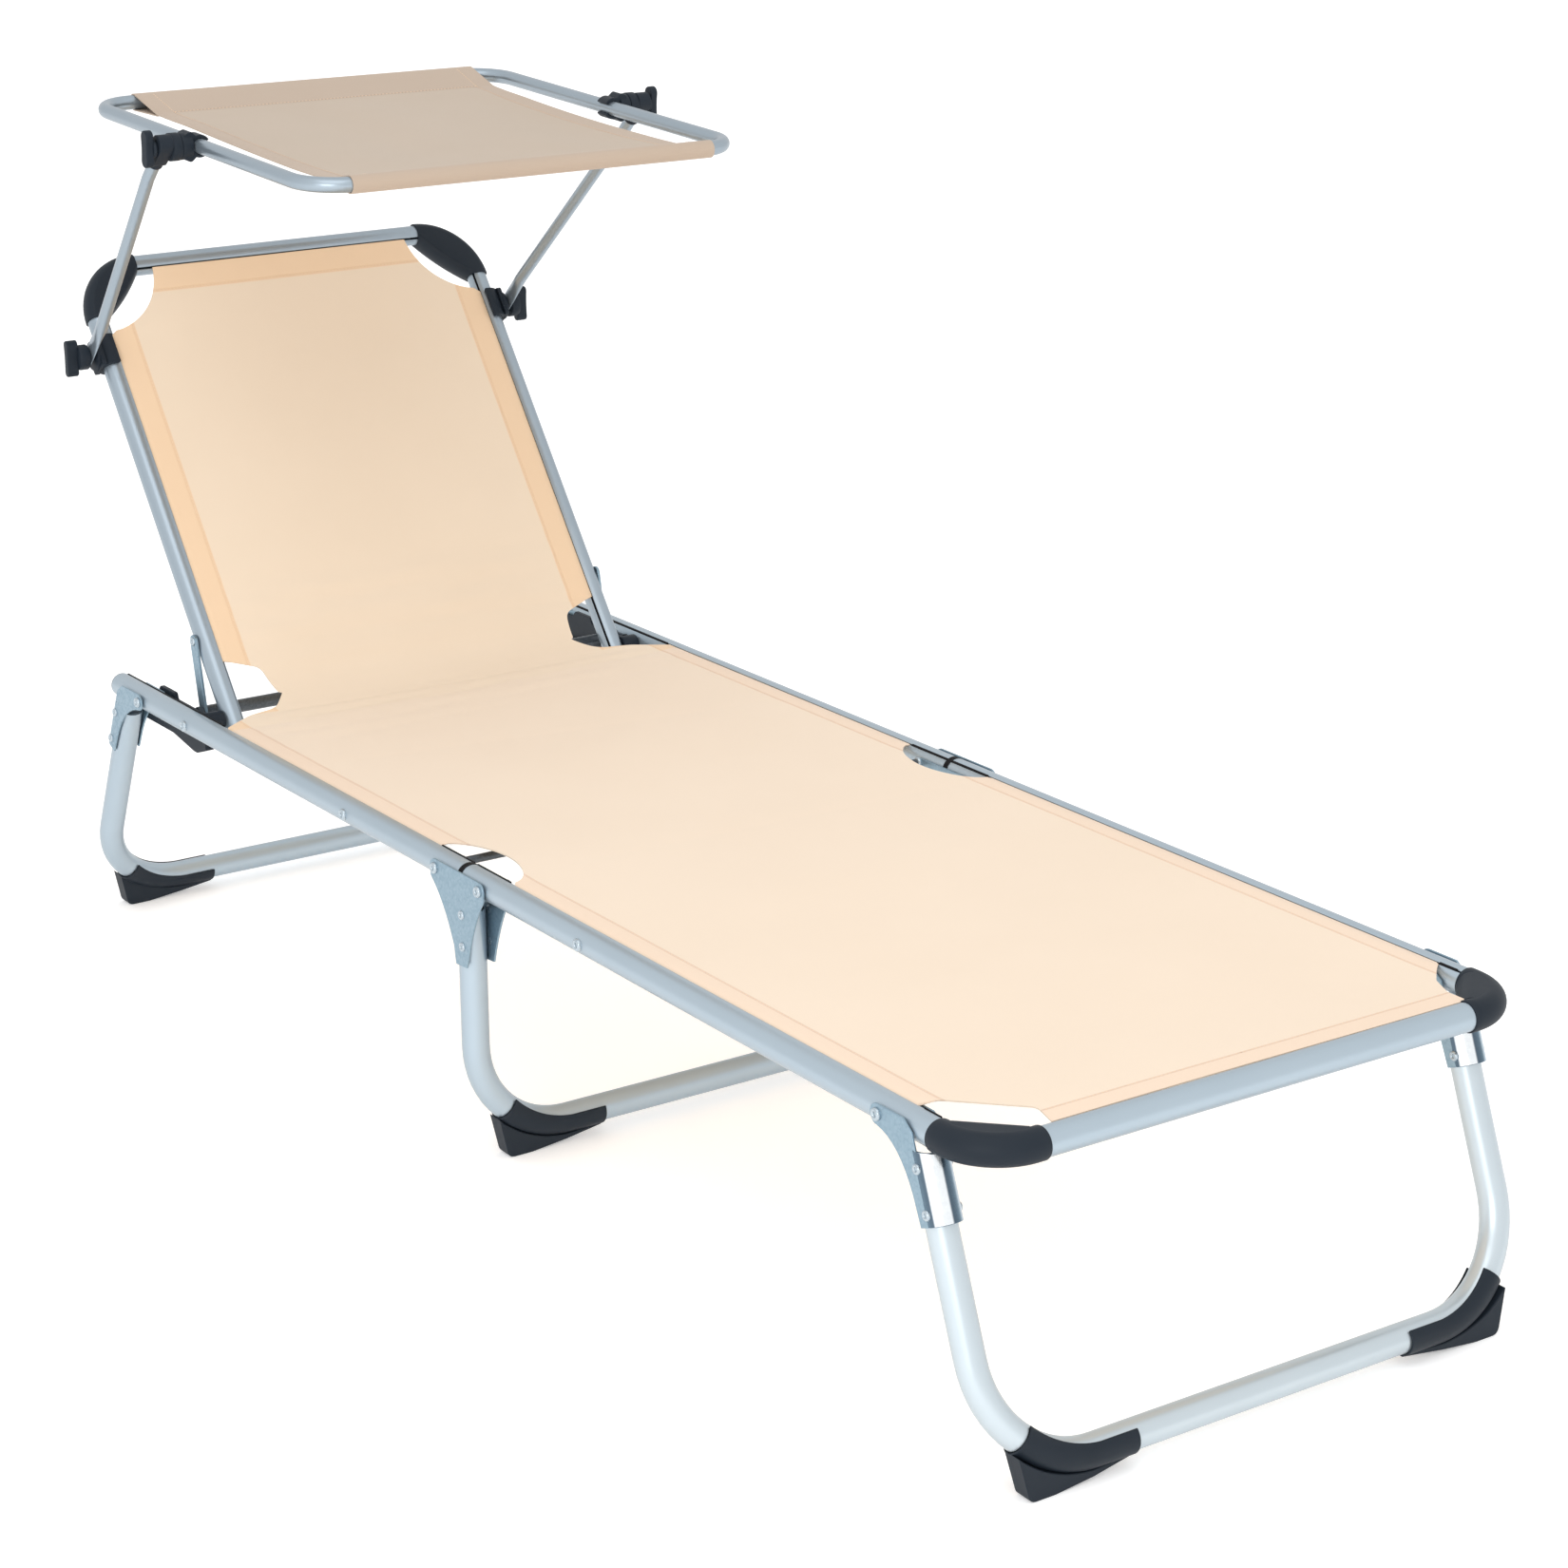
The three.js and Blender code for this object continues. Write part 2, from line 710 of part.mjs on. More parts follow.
// The U-shaped stay hangs along -Z in its own frame, from its hinge at the origin.
function addStay(group) {
  const outer = backHalf + backRadius + runningGap + stayArmThickness;
  const half = stayArmWidth / 2;
  const quarter = Math.PI / 2;
  const strip = new THREE.Shape([
    ...arcPoints(0, 0, half, 0, 2 * quarter, curveSteps),
    ...arcPoints(0, -stayLength, half, 2 * quarter, 4 * quarter, curveSteps),
  ]);
  const arm = alongY(strip, -outer, stayArmThickness - outer);
  const barHalf = outer + rackLedge + fitGap;
  const bar = alongY(disc(stayBarDiameter / 2, smallSides), -barHalf, barHalf);
  const low = moved(bar, 0, 0, -stayLength);
  add(group, 'backrest_stay', joined(low, arm, mirrored(arm, 'y')), steel);
}

// The notched rack inside the right rail: a guard wall and a ledge the stay's bar rests on.
function notchRack() {
  const back = bedHalf - plateOuter - runningGap;
  const wallInner = back - rackWall;
  const lift = stayBarDiameter / 2;
  const steps = 2 * notchCount - 2;
  const places = [...Array(steps + 1).keys()].map((i) => stayBarPlace(i / steps));
  const rest = places[0];
  const rackEnd = rackStart + rackLength;
  const bottom = [
    [-rackEnd, -rackEndDepth],
    [-rest[0], -rackEndDepth],
    [-rackStart - rackBossPitch, -rackDepth],
    [-rackStart - rackBossReach, -rackDepth],
    [-rackStart, -rackEndDepth],
  ];
  const ledgeTop = places.map(([x, z]) => [-x, z - lift - 2 * fitGap]);
  const first = ledgeTop[0];
  const last = ledgeTop[ledgeTop.length - 1];
  const ledge = outline([...bottom, [-rackStart, first[1]], ...ledgeTop, [-rackEnd, last[1]]]);
  const shoulder = -rackBlockStart;
  const blockEnd = shoulder - rackBlockLength;
  const block = rackBlockHeight;
  const wall = outline([
    ...bottom,
    [-rackStart, railRadius],
    [-rackBlockStart + lift, railRadius / 2],
    [shoulder, block],
    [blockEnd, block],
    [blockEnd - lift, railRadius],
    [-rackEnd, 0],
  ]);
  const notch = alongY(disc(lift + fitGap), -back, -wallInner + 2 * rackLedge);
  const notches = places.filter((_, i) => i > 0 && i % 2 === 0);
  const cuts = notches.map(([x, z]) => moved(notch, -x, 0, z - rackNotchDip));
  const step = cut(alongY(ledge, -back, -wallInner + rackLedge), ...cuts);
  const boss = alongY(disc(rackBossDiameter / 2, smallSides), railRadius + fitGap - bedHalf, -wallInner);
  const bosses = [0, 1].map((i) => moved(boss, -rackStart - rackBossDiameter / 2 - i * rackBossPitch, 0, 0));
  return joined(step, alongY(wall, -back, -wallInner), ...bosses);
}

function addRacks(group) {
  addPair(group, 'notch_rack', moved(notchRack(), -reclineReach, 0, 0), plastic);
}

// Clamps on the backrest tubes. Each reach is measured outward from the tube's centre.
function lowerClamp() {
  const bore = backRadius + fitGap;
  const ringOuter = bore + clampWall;
  const open = [-Math.PI / 3, (5 * Math.PI) / 12];
  const hook = new THREE.Shape([
    ...arcPoints(0, 0, ringOuter, open[1], open[0] + 2 * Math.PI, tubeSides),
    ...arcPoints(0, 0, bore, open[0] + 2 * Math.PI, open[1], tubeSides),
  ]);
  const half = clampLength / 2;
  const faceReach = ringOuter + fitGap;
  const plate = box(-half, -clampHeight / 2, half, clampHeight / 2);
  const discReach = faceReach + clampDiscHeight;
  const pinReach = armLowReach + armBladeThickness / 2 + hubHeight - clampDiscHeight;
  return joined(
    alongX(hook, -half, half),
    alongY(plate, -faceReach, -bore),
    alongY(disc(clampDiscDiameter / 2), -discReach, -bore - fitGap),
    alongY(disc(pinDiameter / 2, smallSides), -pinReach, -bore - fitGap),
  );
}

// A wing knob on a round hub, its face at the origin and its wing toward -Y.
function wingKnob(hubRadius, hubLength, wingLength, boreLength) {
  const hub = alongY(disc(hubRadius), -hubLength, 0);
  const wing = box(-wingWidth / 2, -wingSpan / 2, wingWidth / 2, wingSpan / 2);
  const grip = alongY(wing, -hubLength - wingLength, -hubLength + fitGap);
  const bore = alongY(disc(pinDiameter / 2 + fitGap, smallSides), -boreLength, cutOverrun);
  return cut(joined(hub, grip), bore);
}

function addLowerClamps(clamps, knobs) {
  addPair(clamps, 'lower_clamp', moved(lowerClamp(), 0, -backHalf, 0), plastic);
  const face = backHalf + armLowReach + armBladeThickness / 2 + sheetGap;
  const knob = wingKnob(hubDiameter / 2, hubHeight, wingHeight, hubHeight - fitGap);
  addPair(knobs, 'lower_knob', moved(knob, 0, -face, 0), plastic);
}

// The right arm runs along +X in its own frame, from its pivot on the lower clamp.
function armGeometry() {
  const low = backHalf + armLowReach;
  const high = canopyHalf + armHighReach;
  const end = armLength - socketDepth;
  const tube = sweep(disc(armRadius), [
    new THREE.Vector3(armBladeLength - armRadius, -low, 0),
    new THREE.Vector3(armBladeLength + armRadius, -low, 0),
    new THREE.Vector3(end - armStraight, -high, 0),
    new THREE.Vector3(end, -high, 0),
  ]);
  const half = armBladeWidth / 2;
  const blade = new THREE.Shape([
    ...arcPoints(0, 0, half, Math.PI / 2, (3 * Math.PI) / 2, curveSteps),
    new THREE.Vector2(armBladeLength, -armRadius),
    new THREE.Vector2(armBladeLength, armRadius),
  ]);
  const thick = armBladeThickness / 2;
  const flat = alongY(blade, -low - thick, thick - low);
  const eye = alongY(disc(pinDiameter / 2 + fitGap, smallSides), -low - cutOverrun, cutOverrun - low);
  return cut(joined(tube, flat), eye);
}

// The socket at the top of the right arm, with the friction disc that faces the clip.
function armSocket() {
  const high = canopyHalf + armHighReach;
  const near = high - socketWidth / 2;
  const half = socketLength / 2;
  const block = box(-half, -socketHeight / 2, half, socketHeight / 2);
  const discFace = canopyHalf + clipDiscReach + fitGap;
  const body = joined(
    alongY(block, -high - socketWidth / 2, -near),
    alongY(disc(clipDiscDiameter / 2), -near - fitGap, -discFace),
  );
  const mouth = alongX(disc(armRadius + fitGap), -half - cutOverrun, fitGap - socketDepth);
  const eye = alongY(disc(pinDiameter / 2 + fitGap, smallSides), -high - socketWidth, -canopyHalf);
  return moved(cut(body, moved(mouth, 0, -high, 0), eye), armLength, 0, 0);
}

function addArms(group) {
  addPair(group, 'canopy_arm', armGeometry(), aluminium);
  addPair(group, 'arm_socket', armSocket(), plastic);
}

// The clip that grips the canopy's right side tube, with its friction disc and pin.
function canopyClip() {
  const bore = canopyRadius + fitGap;
  const outer = bore + clipWall;
  const slit = Math.asin(clipSlit / 2 / bore);
  const hook = new THREE.Shape([
    ...arcPoints(0, 0, outer, slit, 2 * Math.PI - slit, tubeSides),
    ...arcPoints(0, 0, bore, 2 * Math.PI - slit, slit, tubeSides),
  ]);
  const half = clipLength / 2;
  const pinReach = armHighReach + socketWidth / 2 + smallHubHeight;
  return joined(
    alongX(hook, -half, half),
    alongY(disc(clipDiscDiameter / 2), -clipDiscReach, -bore - fitGap),
    alongY(disc(pinDiameter / 2, smallSides), -pinReach, -bore - fitGap),
  );
}

function addClips(clips, knobs) {
  addPair(clips, 'canopy_clip', moved(canopyClip(), 0, -canopyHalf, 0), plastic);
  const face = canopyHalf + armHighReach + socketWidth / 2 + sheetGap;
  const bore = smallHubHeight + fitGap;
  const knob = wingKnob(smallHubDiameter / 2, smallHubHeight, smallWingHeight, bore);
  addPair(knobs, 'upper_knob', moved(knob, 0, -face, 0), plastic);
}

// The canopy's loop is two U-shaped tubes joined in the middle of the side tubes.
function addCanopy(group) {
  const half = canopyHalf;
  const corners = [
    new THREE.Vector3(-fitGap, -half, 0),
    new THREE.Vector3(canopyReach, -half, 0),
    new THREE.Vector3(canopyReach, half, 0),
    new THREE.Vector3(-fitGap, half, 0),
  ];
  const front = sweep(disc(canopyRadius), bentPath(corners, canopyCorner));
  add(group, 'canopy_frame', joined(front, mirrored(front, 'x')), aluminium);
  add(group, 'canopy_fabric', canopySheet(), fabric);
}

// The canopy sheet: a sagging web between two seams, and a sleeve round each end tube.
function canopySheet() {
  const inner = canopyRadius + sheetGap;
  const outer = inner + sheetThickness;
  const wide = canopySheetWidth / 2;
  const low = -canopySeamDrop - sheetThickness / 2;
  const sagged = (height) => [...Array(2 * curveSteps + 1).keys()].map((i) => {
    const share = i / curveSteps - 1;
    return [share * canopySeamReach, height - canopySag * (1 - share ** 2)];
  });
  const web = alongY(outline([...sagged(low), ...sagged(low + sheetThickness).reverse()]), -wide, wide);
  const lap = 3 * sheetThickness;
  const sleeve = alongY(teardrop(outer, canopySeamReach - lap), -wide, wide);
  const tunnel = alongY(teardrop(inner, canopySeamReach), -wide - cutOverrun, wide + cutOverrun);
  const hollow = cut(sleeve, tunnel);
  const whole = joined(web, hollow, mirrored(hollow, 'x'));
  const far = canopyReach + outer + cutOverrun;
  const trim = new THREE.Shape();
  trim.moveTo(-far, -wide);
  trim.quadraticCurveTo(0, wide - canopySheetWaist, far, -wide);
  trim.lineTo(far, wide);
  trim.quadraticCurveTo(0, canopySheetWaist - wide, -far, wide);
  return common(whole, alongZ(trim, -canopyTubeDiameter, canopyTubeDiameter));
}

// The section of a sleeve: round the front tube, with straight flanks that meet at the seam.
function teardrop(radius, tipReach) {
  const tip = new THREE.Vector2(tipReach - canopyReach, -canopySeamDrop);
  const flank = Math.acos(radius / tip.length());
  const facing = tip.angle();
  const turn = facing - flank + 2 * Math.PI;
  return new THREE.Shape([
    ...arcPoints(canopyReach, 0, radius, facing + flank, turn, 2 * curveSteps),
    new THREE.Vector2(tipReach, -canopySeamDrop),
  ]);
}

function groupAt(parent, x, z, angle = 0) {
  const group = new THREE.Group();
  group.position.set(x, 0, z);
  group.rotation.y = angle;
  parent.add(group);
  return group;
}

// The whole lounger, with the floor at zero and the fold line at X zero.
function lounger() {
  const whole = new THREE.Group();
  const bed = groupAt(whole, 0, railHeight);
  addBedFrame(bed, bed);
  addBedSheets(bed, bed);
  addSpacers(bed);
  addRacks(bed);
  addMidLeg(bed);
  const footLeg = legFrame(footLegOffset, footLegSplay, endLegDrop);
  addEndLeg(groupAt(bed, footPivotReach, 0), 'foot', footLeg, 1);
  const headLeg = legFrame(headLegOffset, headLegSplay, endLegDrop);
  addEndLeg(groupAt(bed, -headPivotReach, 0), 'head', headLeg, -1);

  const recline = reclineAngle * degrees;
  const back = groupAt(bed, -reclineReach, 0, recline);
  addBackrest(back);
  addStay(groupAt(back, -stayReach, 0, stayLean * degrees - recline));

  const clamps = groupAt(back, -clampReach, 0);
  addLowerClamps(clamps, clamps);
  const arms = groupAt(clamps, 0, 0, -armAngle * degrees - recline);
  addArms(arms);
  const canopy = groupAt(arms, armLength, 0, (armAngle + canopyTilt) * degrees);
  addClips(canopy, canopy);
  addCanopy(canopy);
  return whole;
}

// The origin is moved to the middle of the box's underside.
function standing(object) {
  object.updateMatrixWorld(true);
  const bounds = new THREE.Box3().setFromObject(object, true);
  const centre = bounds.getCenter(new THREE.Vector3());
  object.position.set(-centre.x, -centre.y, -bounds.min.z);
  return object;
}

export default standing(lounger());
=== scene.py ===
# %% [markdown]
# A folding sun lounger with a canopy. The imported model is loaded first as a fixed
# frame: every piece below is drawn where that frame has it, and all but the bed's
# cloth and its stitches ride on its bodies.
# Lengths in this script are millimetres from the bed's fold line, because that is how
# a maker would measure the lounger; one helper turns them into the frame's metres.

import math

import bmesh
import bpy
import numpy as np
from mathutils import Matrix, Vector


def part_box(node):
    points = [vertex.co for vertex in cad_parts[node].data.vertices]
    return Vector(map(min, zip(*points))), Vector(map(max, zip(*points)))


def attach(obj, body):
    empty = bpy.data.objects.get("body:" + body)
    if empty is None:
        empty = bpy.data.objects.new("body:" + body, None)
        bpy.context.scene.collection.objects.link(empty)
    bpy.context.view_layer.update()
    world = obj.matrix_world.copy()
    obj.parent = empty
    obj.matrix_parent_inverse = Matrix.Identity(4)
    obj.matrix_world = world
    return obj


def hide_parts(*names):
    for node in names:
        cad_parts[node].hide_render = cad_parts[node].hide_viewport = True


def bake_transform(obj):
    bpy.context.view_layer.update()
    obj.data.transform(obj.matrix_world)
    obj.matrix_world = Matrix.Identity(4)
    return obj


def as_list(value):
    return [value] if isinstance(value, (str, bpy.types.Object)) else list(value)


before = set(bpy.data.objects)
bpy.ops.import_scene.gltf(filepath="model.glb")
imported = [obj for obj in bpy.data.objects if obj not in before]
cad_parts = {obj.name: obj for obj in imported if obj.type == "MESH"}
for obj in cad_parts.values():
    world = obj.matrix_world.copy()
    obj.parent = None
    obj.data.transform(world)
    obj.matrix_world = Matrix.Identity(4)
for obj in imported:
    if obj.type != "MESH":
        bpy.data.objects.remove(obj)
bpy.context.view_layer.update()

# The bed's two halves leave a gap at the fold. The rails' middles lie RAIL_Z above the floor.
FOLD_GAP = 4.6
RAIL_Z = 284
fold_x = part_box("foot_rail_right")[0].x * 1000 - FOLD_GAP / 2
print("fold line at", round(fold_x, 2), "mm")


# %% Places in millimetres
def at(x, y, z):
    """A place in millimetres from the fold line, as a point of the frame in metres."""
    return Vector((x + fold_x, y, z)) / 1000


def turn_y(x, z, degrees):
    """Turns a pair (along, up) about an axis that runs across the lounger."""
    angle = math.radians(degrees)
    return x * math.cos(angle) - z * math.sin(angle), x * math.sin(angle) + z * math.cos(angle)


# %% [markdown]
# The camera stands at the foot end, to the lounger's right, a little above head
# height of somebody sitting. Its place and lens were found by fitting the outline
# of the real one, so the picture is framed the same way.

# %% Camera
CAMERA_PLACE = (2711.6, -1786.85, 1382.71)
CAMERA_AHEAD = (-0.78410, 0.53717, -0.31086)
CAMERA_ROLL, CAMERA_LENS = -0.198, 82.34


def make_camera():
    camera = bpy.data.objects.new("camera", bpy.data.cameras.new("camera"))
    bpy.context.scene.collection.objects.link(camera)
    ahead = Vector(CAMERA_AHEAD).normalized()
    right = ahead.cross(Vector((0, 0, 1))).normalized()
    up = right.cross(ahead)
    roll = math.radians(CAMERA_ROLL)
    level = right * math.cos(roll) + up * math.sin(roll)
    above = up * math.cos(roll) - right * math.sin(roll)
    turn = Matrix((level, above, -ahead)).transposed().to_4x4()
    camera.matrix_world = Matrix.Translation(at(*CAMERA_PLACE)) @ turn
    camera.data.sensor_fit = "HORIZONTAL"
    camera.data.sensor_width = 36
    camera.data.lens = CAMERA_LENS
    bpy.context.scene.camera = camera


make_camera()
print("camera made, lens", CAMERA_LENS, "mm")


# %% [markdown]
# A studio for a pale object: a near-white floor, an even sky, one broad lamp over the
# foot end and a weaker one on the side that faces the camera.

# %% Floor, sky and lamps
FLOOR_HALF, FLOOR_GREY, FLOOR_ROUGH, FLOOR_GLOW = 40.0, 0.9, 0.9, 0.32
LAMP_AIM = Vector((0, 0, 0.3))
# Each lamp: its place and its two sides in metres, and its power in watts.
LAMPS = {
    "key_lamp": ((1.2, -1.0, 3.4), (2.6, 2.6), 20),
    "side_lamp": ((2.4, -2.6, 1.3), (1.8, 1.2), 24),
}


def make_floor():
    mesh = bpy.data.meshes.new("floor")
    corners = [(x * FLOOR_HALF, y * FLOOR_HALF, 0) for x, y in ((-1, -1), (1, -1), (1, 1), (-1, 1))]
    mesh.from_pydata(corners, [], [(0, 1, 2, 3)])
    floor = bpy.data.objects.new("floor", mesh)
    bpy.context.scene.collection.objects.link(floor)
    paper = bpy.data.materials.new("studio_floor")
    paper.use_nodes = True
    shader = paper.node_tree.nodes["Principled BSDF"]
    shader.inputs["Base Color"].default_value = (FLOOR_GREY, FLOOR_GREY, FLOOR_GREY, 1)
    shader.inputs["Roughness"].default_value = FLOOR_ROUGH
    shader.inputs["Emission Color"].default_value = (1, 1, 1, 1)
    shader.inputs["Emission Strength"].default_value = FLOOR_GLOW
    floor.data.materials.append(paper)


def add_lamp(name, place, size, power):
    data = bpy.data.lights.new(name, "AREA")
    data.shape = "RECTANGLE"
    data.size, data.size_y = size
    data.energy = power
    lamp = bpy.data.objects.new(name, data)
    bpy.context.scene.collection.objects.link(lamp)
    lamp.location = place
    lamp.rotation_euler = (LAMP_AIM - Vector(place)).to_track_quat("-Z", "Y").to_euler()


def make_sky():
    world = bpy.data.worlds.new("studio_sky")
    bpy.context.scene.world = world
    world.use_nodes = True
    world.node_tree.nodes["Background"].inputs["Color"].default_value = (1, 1, 1, 1)
    world.node_tree.nodes["Background"].inputs["Strength"].default_value = 1.0
    bpy.context.scene.view_settings.view_transform = "Standard"


make_floor()
make_sky()
for lamp_name, settings in LAMPS.items():
    add_lamp(lamp_name, *settings)
print("studio made, lamps:", len(LAMPS))


# %% [markdown]
# Finishes. Effects that several finishes share, such as a fine grain or the drawn
# lines of an extruded tube, are node groups built once and placed in each material.

# %% Node helpers
def new_group(name, inputs, outputs):
    group = bpy.data.node_groups.new(name, "ShaderNodeTree")
    for label, kind, value in inputs:
        socket = group.interface.new_socket(label, in_out="INPUT", socket_type=kind)
        if value is not None:
            socket.default_value = value
    for label, kind in outputs:
        group.interface.new_socket(label, in_out="OUTPUT", socket_type=kind)
    return group, group.nodes.new("NodeGroupInput"), group.nodes.new("NodeGroupOutput")


def node(tree, kind, **values):
    made = tree.nodes.new(kind)
    for key, value in values.items():
        if hasattr(made, key):
            setattr(made, key, value)
        else:
            made.inputs[key.replace("_", " ")].default_value = value
    return made


def math_node(tree, operation, first, second=None):
    made = node(tree, "ShaderNodeMath", operation=operation)
    for socket, value in zip(made.inputs, (first, second)):
        if value is None:
            continue
        if isinstance(value, (int, float)):
            socket.default_value = value
        else:
            tree.links.new(value, socket)
    return made.outputs[0]


def mix_color(tree, factor, first, second):
    made = node(tree, "ShaderNodeMix", data_type="RGBA")
    for socket, value in ((made.inputs[0], factor), (made.inputs[6], first), (made.inputs[7], second)):
        if isinstance(value, (int, float)):
            socket.default_value = value
        elif isinstance(value, tuple):
            socket.default_value = (*value, 1)
        else:
            tree.links.new(value, socket)
    return made.outputs[2]


print("node helpers:", ", ".join(helper.__name__ for helper in (new_group, node, math_node, mix_color)))


# %% Shared effects
def make_grain_group():
    group, source, result = new_group(
        "fine_grain",
        [("Vector", "NodeSocketVector", None), ("Scale", "NodeSocketFloat", 900.0)],
        [("Height", "NodeSocketFloat"), ("Cloud", "NodeSocketFloat")],
    )
    fine = node(group, "ShaderNodeTexNoise", Detail=3.0, Roughness=0.6)
    cloud = node(group, "ShaderNodeTexNoise", Scale=14.0, Detail=4.0)
    for noise in (fine, cloud):
        group.links.new(source.outputs["Vector"], noise.inputs["Vector"])
    group.links.new(source.outputs["Scale"], fine.inputs["Scale"])
    group.links.new(fine.outputs["Fac"], result.inputs["Height"])
    group.links.new(cloud.outputs["Fac"], result.inputs["Cloud"])
    return group


def make_drawn_group():
    """Lines drawn along a tube, from its own map: U round the tube, V along it."""
    group, source, result = new_group(
        "drawn_lines",
        [("Lines", "NodeSocketFloat", 2600.0)],
        [("Height", "NodeSocketFloat"), ("Cloud", "NodeSocketFloat")],
    )
    where = node(group, "ShaderNodeUVMap", uv_map="along")
    split = node(group, "ShaderNodeSeparateXYZ")
    group.links.new(where.outputs[0], split.inputs[0])
    across = math_node(group, "MULTIPLY", split.outputs[0], source.outputs["Lines"])
    slow = math_node(group, "MULTIPLY", split.outputs[1], 9.0)
    joined = node(group, "ShaderNodeCombineXYZ")
    group.links.new(across, joined.inputs[0])
    group.links.new(slow, joined.inputs[1])
    lines = node(group, "ShaderNodeTexNoise", Scale=1.0, Detail=3.0)
    group.links.new(joined.outputs[0], lines.inputs["Vector"])
    place = node(group, "ShaderNodeTexCoord")
    cloud = node(group, "ShaderNodeTexNoise", Scale=7.0, Detail=4.0)
    group.links.new(place.outputs["Object"], cloud.inputs["Vector"])
    group.links.new(lines.outputs["Fac"], result.inputs["Height"])
    group.links.new(cloud.outputs["Fac"], result.inputs["Cloud"])
    return group


def make_weave_group():
    """Crossed threads from the cloth's own map, which is in metres of flat cloth."""
    group, source, result = new_group(
        "woven_threads",
        [("Pitch", "NodeSocketFloat", 0.0011)],
        [("Height", "NodeSocketFloat"), ("Gaps", "NodeSocketFloat"), ("Cloud", "NodeSocketFloat")],
    )
    where = node(group, "ShaderNodeUVMap", uv_map="flat")
    split = node(group, "ShaderNodeSeparateXYZ")
    group.links.new(where.outputs[0], split.inputs[0])
    turns = math_node(group, "DIVIDE", 2 * math.pi, source.outputs["Pitch"])
    waves = []
    for axis in (0, 1):
        angle = math_node(group, "MULTIPLY", split.outputs[axis], turns)
        waves.append(math_node(group, "SINE", angle))
    product = math_node(group, "MULTIPLY", waves[0], waves[1])
    both = [math_node(group, "ABSOLUTE", wave) for wave in waves]
    crown = math_node(group, "MULTIPLY", both[0], both[1])
    height = math_node(group, "ADD", math_node(group, "MULTIPLY", product, 0.5), 0.5)
    cloud = node(group, "ShaderNodeTexNoise", Scale=5.0, Detail=4.0)
    group.links.new(where.outputs[0], cloud.inputs["Vector"])
    group.links.new(height, result.inputs["Height"])
    group.links.new(crown, result.inputs["Gaps"])
    group.links.new(cloud.outputs["Fac"], result.inputs["Cloud"])
    return group


GRAIN = make_grain_group()
DRAWN = make_drawn_group()
WEAVE = make_weave_group()
print("shared effects:", GRAIN.name, DRAWN.name, WEAVE.name)


# %% Metal finishes
NOISE_LOW, NOISE_HIGH = 0.3, 0.7
# Painted shade on tubes: a face seen edge on is mixed, by up to the second number, toward its dark tone times
# the first.
PAINTED_EDGE_SHADE, PAINTED_EDGE_SHADE_SHARE = 0.45, 0.55
# Painted reflection on bright plating: its colour from faces seen square on (0) to faces seen edge on (1).
PAINTED_REFLECTION_BANDS = (
    (0.0, (1, 1, 1)), (0.10, (1, 1, 1)), (0.17, (0.10, 0.14, 0.18)),
    (0.42, (0.13, 0.19, 0.24)), (0.7, (0.42, 0.5, 0.56)), (0.95, (0.5, 0.58, 0.64)),
)


def start_material(name):
    material = bpy.data.materials.new(name)
    material.use_nodes = True
    tree = material.node_tree
    return material, tree, tree.nodes["Principled BSDF"]


def use_group(tree, group, **values):
    made = tree.nodes.new("ShaderNodeGroup")
    made.node_tree = group
    for key, value in values.items():
        made.inputs[key].default_value = value
    return made


def bump(tree, shader, height, distance, strength):
    made = node(tree, "ShaderNodeBump", Strength=strength, Distance=distance)
    tree.links.new(height, made.inputs["Height"])
    tree.links.new(made.outputs[0], shader.inputs["Normal"])


def remap(tree, value, start, end, low, high, curve="LINEAR"):
    """A value from start to end becomes one from low to high."""
    made = node(tree, "ShaderNodeMapRange", interpolation_type=curve,
                From_Min=start, From_Max=end, To_Min=low, To_Max=high)
    tree.links.new(value, made.inputs["Value"])
    return made.outputs["Result"]


def spread(tree, noise, low, high):
    """Noise lies mostly between two values. This spreads it over a wanted range."""
    return remap(tree, noise, NOISE_LOW, NOISE_HIGH, low, high)


def tube_finish(name, dark, light, metallic, rough):
    """Drawn tube: soft clouds of tone, fine lines along it, and painted shade on faces that turn away from
    the camera.
    """
    material, tree, shader = start_material(name)
    drawn = use_group(tree, DRAWN, Lines=2600.0)
    shader.inputs["Metallic"].default_value = metallic
    tint = mix_color(tree, drawn.outputs["Cloud"], dark, light)
    # Painted shade: the colour darkens where a face turns away from the camera.
    edge = node(tree, "ShaderNodeLayerWeight", Blend=0.5)
    painted_shade_share = math_node(tree, "MULTIPLY", edge.outputs["Facing"], PAINTED_EDGE_SHADE_SHARE)
    tint = mix_color(tree, painted_shade_share, tint, tuple(PAINTED_EDGE_SHADE * value for value in dark))
    tree.links.new(tint, shader.inputs["Base Color"])
    tree.links.new(spread(tree, drawn.outputs["Height"], *rough), shader.inputs["Roughness"])
    bump(tree, shader, drawn.outputs["Height"], 0.00002, 0.35)
    return material


def sheet_steel(name, rough, spangle, dark, light):
    """Plated sheet: small flakes that differ a little in tone and gloss."""
    material, tree, shader = start_material(name)
    place = node(tree, "ShaderNodeTexCoord")
    flakes = node(tree, "ShaderNodeTexVoronoi", Scale=spangle)
    tree.links.new(place.outputs["Object"], flakes.inputs["Vector"])
    grain = use_group(tree, GRAIN, Scale=1400.0)
    tree.links.new(place.outputs["Object"], grain.inputs["Vector"])
    shade = node(tree, "ShaderNodeSeparateColor")
    tree.links.new(flakes.outputs["Color"], shade.inputs[0])
    tint = mix_color(tree, shade.outputs[0], dark, light)
    tree.links.new(tint, shader.inputs["Base Color"])
    shader.inputs["Metallic"].default_value = 0.85
    tree.links.new(spread(tree, shade.outputs[1], *rough), shader.inputs["Roughness"])
    bump(tree, shader, grain.outputs["Height"], 0.00002, 0.4)
    return material


